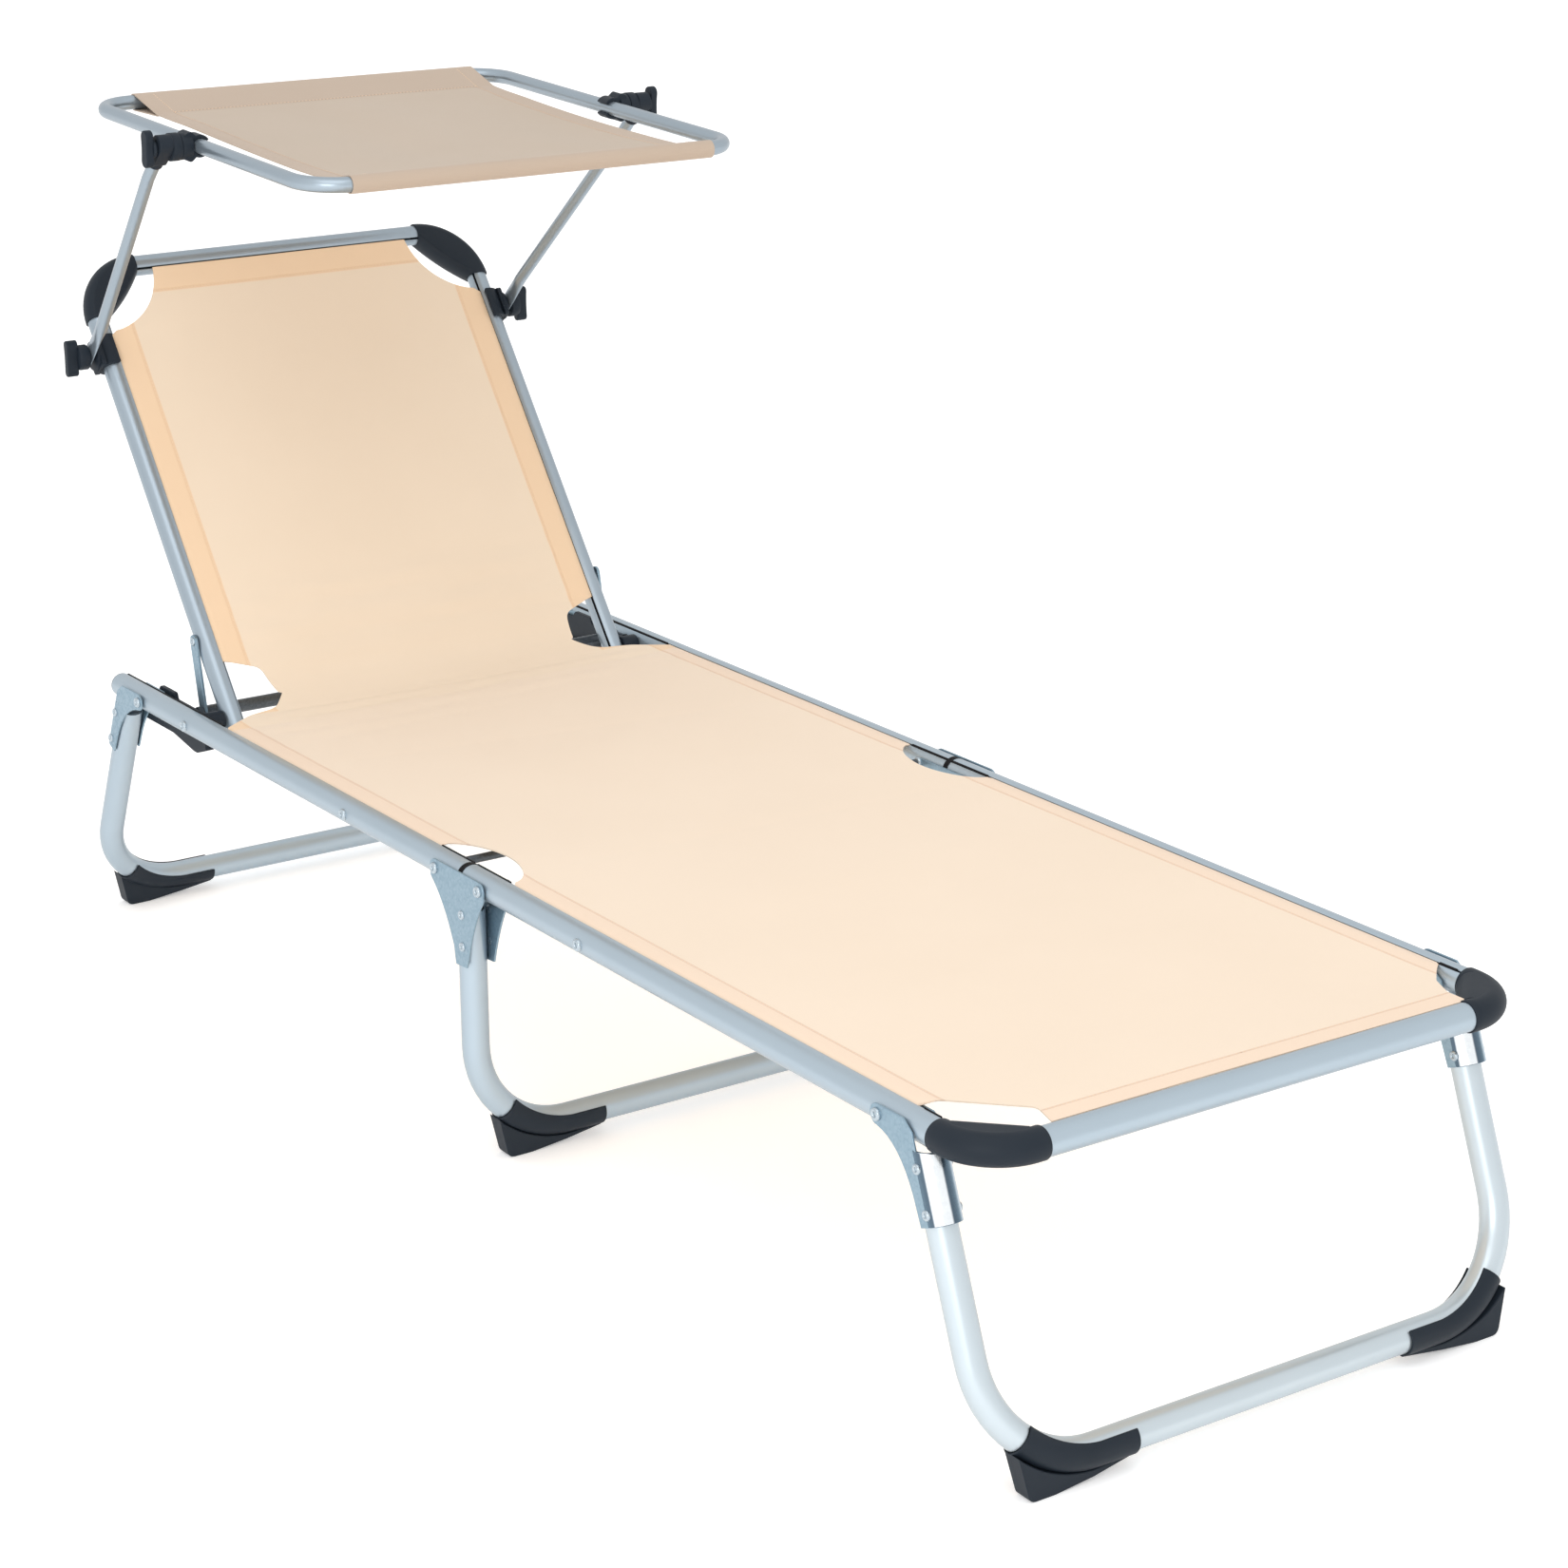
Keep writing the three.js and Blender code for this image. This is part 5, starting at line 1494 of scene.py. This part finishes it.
# %% Lower clamps and knobs
def at_clamp(x, y, z):
    return leaning(CLAMP_S - x, y, z)


def upright_at_clamp(x, y, z):
    """The same place with the backrest's lean taken out, so that a grip stands upright."""
    turned_x, turned_z = turn_y(x, z, BACK_ANGLE)
    return at_clamp(turned_x, y, turned_z)


def ring_outline(inner, outer, start, end, steps=24):
    points = arc2(0, 0, outer, start, end, steps)
    return points + arc2(0, 0, inner, end, start, steps)


def along_tube(outline, x_low, x_high, side, centre, place):
    """A section (outward, up) carried along a tube between two places."""
    return skin([[place(x, side * (centre + q), z) for q, z in outline] for x in (x_low, x_high)])


def rounded_box(half_x, half_z, radius):
    return rounded([(x * half_x, z * half_z, radius) for x, z in ((1, 1), (-1, 1), (-1, -1), (1, -1))])


def wing(half_thick, half_span, waist):
    """The grip of a wing knob: fuller at its ends than at its middle."""
    end = half_span - half_thick
    points = arc2(0, end, half_thick, 0, 180, 10)
    points += curve_between((-half_thick, end), (-waist, 0), (-half_thick, -end))[1:]
    points += arc2(0, -end, half_thick, 180, 360, 10)[1:]
    return points + curve_between((half_thick, -end), (waist, 0), (half_thick, end))[1:-1]


def outward_from(start, profile):
    """A profile whose reaches are counted from a face instead of the middle plane."""
    return [(start + reach, radius) for reach, radius in profile]


LOWER_HUB = ((0, 11.5), (0.4, 12.8), (1.4, 13.5), (9, 13.5), (11.5, 12.6), (12.5, 10.5))
LOWER_FACE = BACK_HALF + 25.4

for hand, side in SIDES:
    hook = along_tube(ring_outline(11.3, 16.0, -120, 105), -17, 17, side, BACK_HALF, at_clamp)
    flange = slab(rounded_box(17, 15, 4), side * (BACK_HALF + 11.6), side * (BACK_HALF + 16.6), at_clamp)
    disc = spun(soft_disc(BACK_HALF + 14, BACK_HALF + 19.3, 16), at_clamp, side)
    pin = spun(outward_from(BACK_HALF, ((18, 4), (36, 4))), at_clamp, side, 20)
    moulded(f"arm_clamp_{hand}", [hook, flange, disc, pin], "lower_clamps", [f"lower_clamp_{hand}"])
    hub = spun(outward_from(LOWER_FACE, LOWER_HUB), at_clamp, side)
    grip = slab(wing(5, 19.5, 3.6), side * (LOWER_FACE + 11.5), side * (LOWER_FACE + 24), upright_at_clamp)
    knob = f"lower_knob_{hand}"
    moulded(f"arm_knob_{hand}", [hub, grip], knob, [knob], soft=1.2)
print("lower clamps made: 2, knobs: 2")


# %% Sockets, clips and upper knobs
JAW = rounded([(8.5, 12.5, 3), (1.5, 15.5, 4), (-4, 10.5, 2), (-4, -10.5, 2), (1.5, -15.5, 4),
               (8.5, -12.5, 3)])
SOCKET = arc2(5, 0, 10, -90, 90, 14) + arc2(-15, 0, 8.6, 90, 270, 10)
UPPER_HUB = ((0, 8), (0.6, 9), (3.2, 9), (4, 8))
ARM_HIGH = CANOPY_HALF + ARM_HIGH_OUT
SOCKET_INNER, SOCKET_OUTER = ARM_HIGH - 7.6, ARM_HIGH + 6.8
UPPER_FACE = SOCKET_OUTER + 0.4


def at_arm_end(u, y, w):
    return along_arm(ARM_LENGTH + u, y, w)


for hand, side in SIDES:
    block = slab(SOCKET, side * SOCKET_INNER, side * SOCKET_OUTER, at_arm_end)
    collar = along_tube(circle(8.2, 28), -25, -12, side, ARM_HIGH, at_arm_end)
    disc = spun(soft_disc(CANOPY_HALF + 20.3, SOCKET_INNER, 14), at_arm_end, side)
    moulded(f"canopy_socket_{hand}", [block, collar, disc], "canopy_arms", [f"arm_socket_{hand}"])

    hook = along_tube(ring_outline(7.8, 11.4, -148, 148), -9, 9, side, CANOPY_HALF, on_canopy)
    jaw = along_tube(JAW, -9, 9, side, CANOPY_HALF + 8, on_canopy)
    disc = spun(soft_disc(CANOPY_HALF + 8.5, CANOPY_HALF + 20, 13.5), on_canopy, side)
    pin = spun(outward_from(CANOPY_HALF, ((18, 4), (49, 4))), on_canopy, side, 20)
    moulded(f"canopy_grip_{hand}", [hook, jaw, disc, pin], "canopy_clips", [f"canopy_clip_{hand}"])

    hub = spun(outward_from(UPPER_FACE, UPPER_HUB), on_canopy, side)
    grip = slab(wing(7, 18.5, 5.4), side * (UPPER_FACE + 3.6), side * (UPPER_FACE + 11.6), on_canopy)
    knob = f"upper_knob_{hand}"
    moulded(f"canopy_knob_{hand}", [hub, grip], knob, [knob], soft=1.1)
print("sockets made: 2, clips: 2, knobs: 2")


# %% [markdown]
# The backrest is held by a stay: a bar that drops into the notches of a moulded rack
# inside each rail, on two flat links that swing from the backrest tubes.

# %% Stay
STAY_REACH, STAY_LENGTH, STAY_LEAN = 90.0, 75.5, 11.5
LINK_IN, LINK_OUT, LINK_R, BAR_PAST = BACK_HALF + 11.8, BACK_HALF + 14.8, 7, 5.8
STAY_HINGE = leaning(STAY_REACH, 0, 0)
BAR_DROP_FLAT = 20.5


def stay_frame(x, y, z):
    """The stay's own frame: it hangs along -z from its hinge on the backrest."""
    out_x, out_z = turn_y(x, z, STAY_LEAN)
    return (STAY_HINGE[0] + out_x, y, STAY_HINGE[2] + out_z)


link_outline = arc2(0, 0, LINK_R, 0, 180, 12) + arc2(0, -STAY_LENGTH, LINK_R, 180, 360, 12)
links = [slab(link_outline, side * LINK_IN, side * LINK_OUT, stay_frame) for _, side in SIDES]
bar_outline = [(x, z - STAY_LENGTH) for x, z in circle(LINK_R, 32)]
bar = slab(bar_outline, -LINK_OUT - BAR_PAST, LINK_OUT + BAR_PAST, stay_frame)
# The stay's bar takes the near-black steel as painted shade under the cloth.
moulded("backrest_prop", [bar], "stay", ["backrest_stay"], PAINTED_SHADE_STEEL, 0.4, 30)
moulded("backrest_prop_links", links, "stay", [], ZINC, 0.4, 30)
print("stay made")


# %% Racks and spacers
RACK_END, RACK_BASE, RACK_LEDGE_OUT, LEDGE_DROP = -168, -35, 5.5, 7.6
RACK_TOES = [(-41, -43), (-33, -43)]
NOTCHES, NOTCH_DEEP = 4, 1.6
RAIL_WALL_Y = HALF - 12.8
BOSSES = (-17, -47)


def bar_place(share):
    """Where the bar lies, from the backrest's pivot, as the backrest goes from up to flat."""
    angle = math.radians(BACK_ANGLE * (1 - share))
    lean = math.radians(STAY_LEAN) * (1 - share) + math.acos(BAR_DROP_FLAT / STAY_LENGTH) * share
    x = STAY_REACH * math.cos(angle) + STAY_LENGTH * math.sin(lean)
    return x, STAY_REACH * math.sin(angle) - STAY_LENGTH * math.cos(lean)


def at_pivot(x, y, z):
    return (PIVOT_X + x, y, RAIL_Z + z)


def rack_ledge():
    """The ledge's outline: its top has a hollow for each place of the bar."""
    top = []
    for k in range(65):
        share = k / 64
        x, z = bar_place(share)
        dip = NOTCH_DEEP * max(0.0, math.cos(share * NOTCHES * 2 * math.pi)) if share > 0.1 else 0.0
        top.append((-x, z - LEDGE_DROP - dip))
    base = [(RACK_END, RACK_BASE), (top[0][0], RACK_BASE), *RACK_TOES, (-11, RACK_BASE), (-11, top[0][1])]
    return base + top + [(RACK_END, top[-1][1])]


def boss(x, start, side):
    """A round foot that carries the rack on the rail's inner wall."""
    def place(out, y, z):
        return at_pivot(x + out, y, z)

    return spun([(start, 6), (RAIL_WALL_Y, 6)], place, side, 24)


RACK_WALL = rounded(
    [(RACK_END, RACK_BASE, 3), (-90, RACK_BASE, 0)] + [(*toe, 4) for toe in RACK_TOES]
    + [(-11, RACK_BASE, 3), (-11, 4, 3), (-80, 4, 3), (-82, 11, 4), (-116, 11, 4), (-122, 4, 3),
       (RACK_END, 0, 4)])
for hand, side in SIDES:
    back = HALF - PLATE_OUT - 0.8
    face = back - 4.7
    guard = slab(RACK_WALL, side * face, side * back, at_pivot)
    ledge = slab(rack_ledge(), side * (face - RACK_LEDGE_OUT), side * (face + 0.2), at_pivot)
    bosses = [boss(x, back - 0.2, side) for x in BOSSES]
    moulded(f"notch_block_{hand}", [guard, ledge, *bosses], "head_section", [f"notch_rack_{hand}"])
    spacer = spun(soft_disc(BACK_HALF + 11.3, RAIL_WALL_Y, 9.5, 1.0), at_pivot, side)
    moulded(f"pivot_spacer_{hand}", [spacer], "head_section", [f"backrest_pivot_spacer_{hand}"])
print("racks made: 2, spacers: 2")


# %% [markdown]
# Rivets hold every bracket and brace. One small tree of Geometry Nodes sets a head with
# a rolled rim and a sunk middle on each point of a list, turned to face the way that the
# point's arrow says, so a rivet's size is changed in one place.

# %% Geometry Nodes helpers
def new_tree(name, inputs):
    tree = bpy.data.node_groups.new(name, "GeometryNodeTree")
    tree.is_modifier = True
    tree.interface.new_socket("Geometry", in_out="INPUT", socket_type="NodeSocketGeometry")
    for label, kind in inputs:
        tree.interface.new_socket(label, in_out="INPUT", socket_type=kind)
    tree.interface.new_socket("Geometry", in_out="OUTPUT", socket_type="NodeSocketGeometry")
    return tree, tree.nodes.new("NodeGroupInput"), tree.nodes.new("NodeGroupOutput")


def finished_tree(tree, shapes, source, result):
    real = tree.nodes.new("GeometryNodeRealizeInstances")
    paint = tree.nodes.new("GeometryNodeSetMaterial")
    tree.links.new(shapes, real.inputs[0])
    tree.links.new(real.outputs[0], paint.inputs[0])
    tree.links.new(source.outputs["Material"], paint.inputs["Material"])
    tree.links.new(paint.outputs[0], result.inputs["Geometry"])
    return tree


def grown(name, base, tree, values, body, smooth_angle=60):
    """Runs a tree on a base mesh and keeps what it grew as a plain mesh."""
    helper = bpy.data.objects.new(name + "_base", base)
    bpy.context.scene.collection.objects.link(helper)
    modifier = helper.modifiers.new("grow", "NODES")
    modifier.node_group = tree
    for item in tree.interface.items_tree:
        if item.item_type == "SOCKET" and item.in_out == "INPUT" and item.name in values:
            modifier[item.identifier] = values[item.name]
    view = bpy.context.evaluated_depsgraph_get()
    mesh = bpy.data.meshes.new_from_object(helper.evaluated_get(view))
    helper.modifiers.remove(modifier)
    bpy.data.objects.remove(helper)
    mesh.name = name
    piece = shown(name, mesh)
    mesh.set_sharp_from_angle(angle=math.radians(smooth_angle))
    if body:
        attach(piece, body)
    return piece


def rivet_tree():
    tree, source, result = new_tree("rivets_on_points", [
        ("Radius", "NodeSocketFloat"), ("Height", "NodeSocketFloat"), ("Material", "NodeSocketMaterial")])
    ball = node(tree, "GeometryNodeMeshUVSphere", Segments=20, Rings=8)
    ring = node(tree, "GeometryNodeCurvePrimitiveCircle", Resolution=24)
    bead = node(tree, "GeometryNodeCurvePrimitiveCircle", Resolution=10)
    for round_shape, share in ((ball, 0.8), (ring, 0.64), (bead, 0.36)):
        size = math_node(tree, "MULTIPLY", source.outputs["Radius"], share)
        tree.links.new(size, round_shape.inputs["Radius"])
    rim = tree.nodes.new("GeometryNodeCurveToMesh")
    tree.links.new(ring.outputs[0], rim.inputs["Curve"])
    tree.links.new(bead.outputs[0], rim.inputs["Profile Curve"])
    head = tree.nodes.new("GeometryNodeJoinGeometry")
    ratio = math_node(tree, "DIVIDE", source.outputs["Height"], source.outputs["Radius"])
    for shape, share in ((ball.outputs["Mesh"], 0.45), (rim.outputs["Mesh"], 2.78)):
        squash = tree.nodes.new("GeometryNodeTransform")
        size = node(tree, "ShaderNodeCombineXYZ", X=1.0, Y=1.0)
        tree.links.new(math_node(tree, "MULTIPLY", ratio, share), size.inputs[2])
        tree.links.new(shape, squash.inputs["Geometry"])
        tree.links.new(size.outputs[0], squash.inputs["Scale"])
        tree.links.new(squash.outputs[0], head.inputs[0])
    facing = tree.nodes.new("GeometryNodeInputNamedAttribute")
    facing.data_type = "FLOAT_VECTOR"
    facing.inputs["Name"].default_value = "facing"
    turn = tree.nodes.new("FunctionNodeAlignRotationToVector")
    turn.axis = "Z"
    tree.links.new(facing.outputs["Attribute"], turn.inputs["Vector"])
    points = tree.nodes.new("GeometryNodeMeshToPoints")
    tree.links.new(source.outputs["Geometry"], points.inputs["Mesh"])
    copies = tree.nodes.new("GeometryNodeInstanceOnPoints")
    tree.links.new(points.outputs[0], copies.inputs["Points"])
    tree.links.new(head.outputs[0], copies.inputs["Instance"])
    tree.links.new(turn.outputs[0], copies.inputs["Rotation"])
    return finished_tree(tree, copies.outputs[0], source, result)


RIVETS = rivet_tree()


def rivet_base(name, places):
    mesh = bpy.data.meshes.new(name)
    mesh.from_pydata([at(*spot) for spot, _ in places], [], [])
    facing = mesh.attributes.new("facing", "FLOAT_VECTOR", "POINT")
    facing.data.foreach_set("vector", [c for _, way in places for c in way])
    return mesh


def rivets(name, places, body, radius, height):
    base = rivet_base(name, places)
    values = {"Radius": radius / 1000, "Height": height / 1000, "Material": RIVET_METAL}
    return grown(name, base, RIVETS, values, body)


print("node tree made:", RIVETS.name, "with", len(RIVETS.nodes), "nodes")


# %% Rivets
# Each kind of rivet: the head's radius and its height.
BRACKET_RIVET, PIVOT_RIVET, RAIL_RIVET, STAY_RIVET = (4.6, 2.0), (5.6, 2.6), (6.0, 3.0), (4.8, 2.0)
PIVOT_RIVETS = {
    "head_leg_rivet": (LEGS["head"]["pivot"], "head_leg"),
    "foot_leg_rivet": (LEGS["foot"]["pivot"], "foot_leg"),
    "head_fold_rivet": (-FOLD_AXIS, "mid_leg"),
    "foot_fold_rivet": (FOLD_AXIS, "mid_leg"),
}


def across_pairs(places, reach, ways=(1, -1)):
    """Each place gets a rivet on the outside, and if asked the inside, of both side rails."""
    return [
        ((x, side * (HALF + way * reach), z), (0, side * way, 0))
        for x, z in places for _, side in SIDES for way in ways
    ]


def rail_rivets(name, places, body):
    """Heads on the outer walls of both rails."""
    rivets(name, across_pairs([(x, RAIL_Z) for x in places], RAIL_R - 0.3, (1,)), body, *RAIL_RIVET)


for name, leg in LEGS.items():
    # A rivet's inner head is left out where the rack stands when the head leg is folded.
    ways = (1,) if name == "head" else (1, -1)
    spots = [(5, -31), (5, -67)] if name != "mid" else [(8, -32), (8, -63)]
    fixed = [leaned(leg, x, 0, z)[::2] for x, z in spots]
    places = across_pairs(fixed, PLATE_OUT - 0.2, ways)
    rivets(f"{name}_bracket_rivets", places, leg["body"], *BRACKET_RIVET)

for node_name, (x, body) in PIVOT_RIVETS.items():
    places = across_pairs([(x, RAIL_Z)], PLATE_OUT + 0.3)
    piece = rivets(f"{node_name}_heads", places, body, *PIVOT_RIVET)
    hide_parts(f"{node_name}_right", f"{node_name}_left")

rail_rivets("head_rail_rivets", (PIVOT_X, HEAD_BRACE_X), "head_section")
rail_rivets("foot_rail_rivets", (FOOT_BRACE_X,), "foot_section")
stay_pins = [(stay_frame(0, side * (LINK_OUT - 0.2), 0), (0, side, 0)) for _, side in SIDES]
rivets("stay_hinge_rivets", stay_pins, "backrest", *STAY_RIVET)
print("rivets made")


# %% [markdown]
# Thread shows close up along every hem. The same kind of tree lays short stitches at
# an even pitch along lines that run just inside the hem's seam.

# %% Stitches
def stitch_tree():
    tree, source, result = new_tree("stitches_on_lines", [
        ("Pitch", "NodeSocketFloat"), ("Length", "NodeSocketFloat"),
        ("Thread", "NodeSocketFloat"), ("Material", "NodeSocketMaterial")])
    curve = tree.nodes.new("GeometryNodeMeshToCurve")
    tree.links.new(source.outputs["Geometry"], curve.inputs[0])
    even = tree.nodes.new("GeometryNodeResampleCurve")
    even.mode = "LENGTH"
    tree.links.new(curve.outputs[0], even.inputs["Curve"])
    tree.links.new(source.outputs["Pitch"], even.inputs["Length"])
    thread = node(tree, "GeometryNodeMeshUVSphere", Segments=6, Rings=4, Radius=0.5)
    size = tree.nodes.new("ShaderNodeCombineXYZ")
    for k in (0, 1):
        tree.links.new(source.outputs["Thread"], size.inputs[k])
    tree.links.new(source.outputs["Length"], size.inputs[2])
    tangent = tree.nodes.new("GeometryNodeInputTangent")
    turn = tree.nodes.new("FunctionNodeAlignRotationToVector")
    turn.axis = "Z"
    tree.links.new(tangent.outputs[0], turn.inputs["Vector"])
    copies = tree.nodes.new("GeometryNodeInstanceOnPoints")
    tree.links.new(even.outputs[0], copies.inputs["Points"])
    tree.links.new(thread.outputs["Mesh"], copies.inputs["Instance"])
    tree.links.new(turn.outputs[0], copies.inputs["Rotation"])
    tree.links.new(size.outputs[0], copies.inputs["Scale"])
    return finished_tree(tree, copies.outputs[0], source, result)


STITCHES = stitch_tree()
THREAD = moulded_plastic("sewing_thread", (0.80, 0.60, 0.42), (0.86, 0.66, 0.48), (0.6, 0.75))
STITCH = {"Pitch": 0.0042, "Length": 0.0030, "Thread": 0.00075, "Material": THREAD}
ON_TOP = CLOTH_THICK / 2 + 0.05
LINE_STEP, STITCH_IN, BACK_STITCH_IN = 4.0, HEM * 1000 - 1.5, BACK_HEM * 1000 - 2


def hem_lines():
    """The lines of thread just inside the straight hems, for one side of the flat cloth."""
    across = np.arange(0.0, SLOT_EDGE, LINE_STEP)
    return [
        [(v, SLOT_EDGE - STITCH_IN) for v in np.arange(BEND_X, FOOT_END, LINE_STEP)],
        [(FOOT_END - STITCH_IN, y) for y in across],
        [(v, BACK_EDGE - BACK_STITCH_IN) for v in np.arange(CLOTH_START, BEND_X, LINE_STEP)],
        [(on_back(BACK_END - BACK_STITCH_IN), y) for y in across],
    ]


def hem_runs(start, end, side):
    """The parts of those lines that lie on one side of the cloth between two places along it."""
    runs = []
    for line in hem_lines():
        run = []
        for v, y in line + [(None, None)]:
            if v is not None and start <= v <= end and y < half_width(v, side) - 2:
                run.append((v, y))
            else:
                runs.append(run)
                run = []
    return [run for run in runs if len(run) > 2]


def lines_mesh(name, runs):
    spots, edges = [], []
    for run in runs:
        first = len(spots)
        spots += run
        edges += [(first + k, first + k + 1) for k in range(len(run) - 1)]
    mesh = bpy.data.meshes.new(name)
    mesh.from_pydata([at(*spot) for spot in spots], edges, [])
    return mesh


def on_bed_cloth(v, y):
    """A place on the upper face of the bed's cloth."""
    return on_cloth(v, y, bed_lift(v, y) + ON_TOP)


def bed_stitches(part_name):
    runs = [
        [on_bed_cloth(v, side * y) for v, y in run]
        for _, side in SIDES for run in hem_runs(*SPANS[part_name], side)
    ]
    lines = lines_mesh(part_name, runs)
    piece = grown(f"{part_name}_cloth_stitches", lines, STITCHES, STITCH, None)
    bodies, first, last = BLENDS[part_name]
    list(bodies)
    at(*first)
    at(*last)
    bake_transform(piece)
    return piece


def on_canopy_cloth(v, y, lift_at=None):
    """A place on the upper face of the canopy's cloth, with the lift of that or another place."""
    return canopy_place(v, y, canopy_lift(v, y if lift_at is None else lift_at) + ON_TOP)


def canopy_stitches():
    middle = CANOPY_STEPS[-1] / 2
    steps = [k * LINE_STEP for k in range(int(CANOPY_STEPS[-1] / LINE_STEP))]
    web = [(v, canopy_width(v)) for v in steps if abs(v - middle) < CANOPY_SEAM + 50]
    lines = [
        [on_canopy_cloth(v, side * (width - STITCH_IN), side * (width - 20)) for v, width in web]
        for _, side in SIDES
    ]
    for way in (-1, 1):
        v = middle + way * (CANOPY_SEAM + 1.5)
        reach = canopy_width(v) - 22
        lines.append([on_canopy_cloth(v, y) for y in np.linspace(-reach, reach, 90)])
    mesh = lines_mesh("canopy_lines", lines)
    return grown("canopy_cloth_stitches", mesh, STITCHES, STITCH, "canopy")


for part_name in SPANS:
    made = bed_stitches(part_name)
    print(made.name, len(made.data.polygons), "faces")
canopy_stitches()
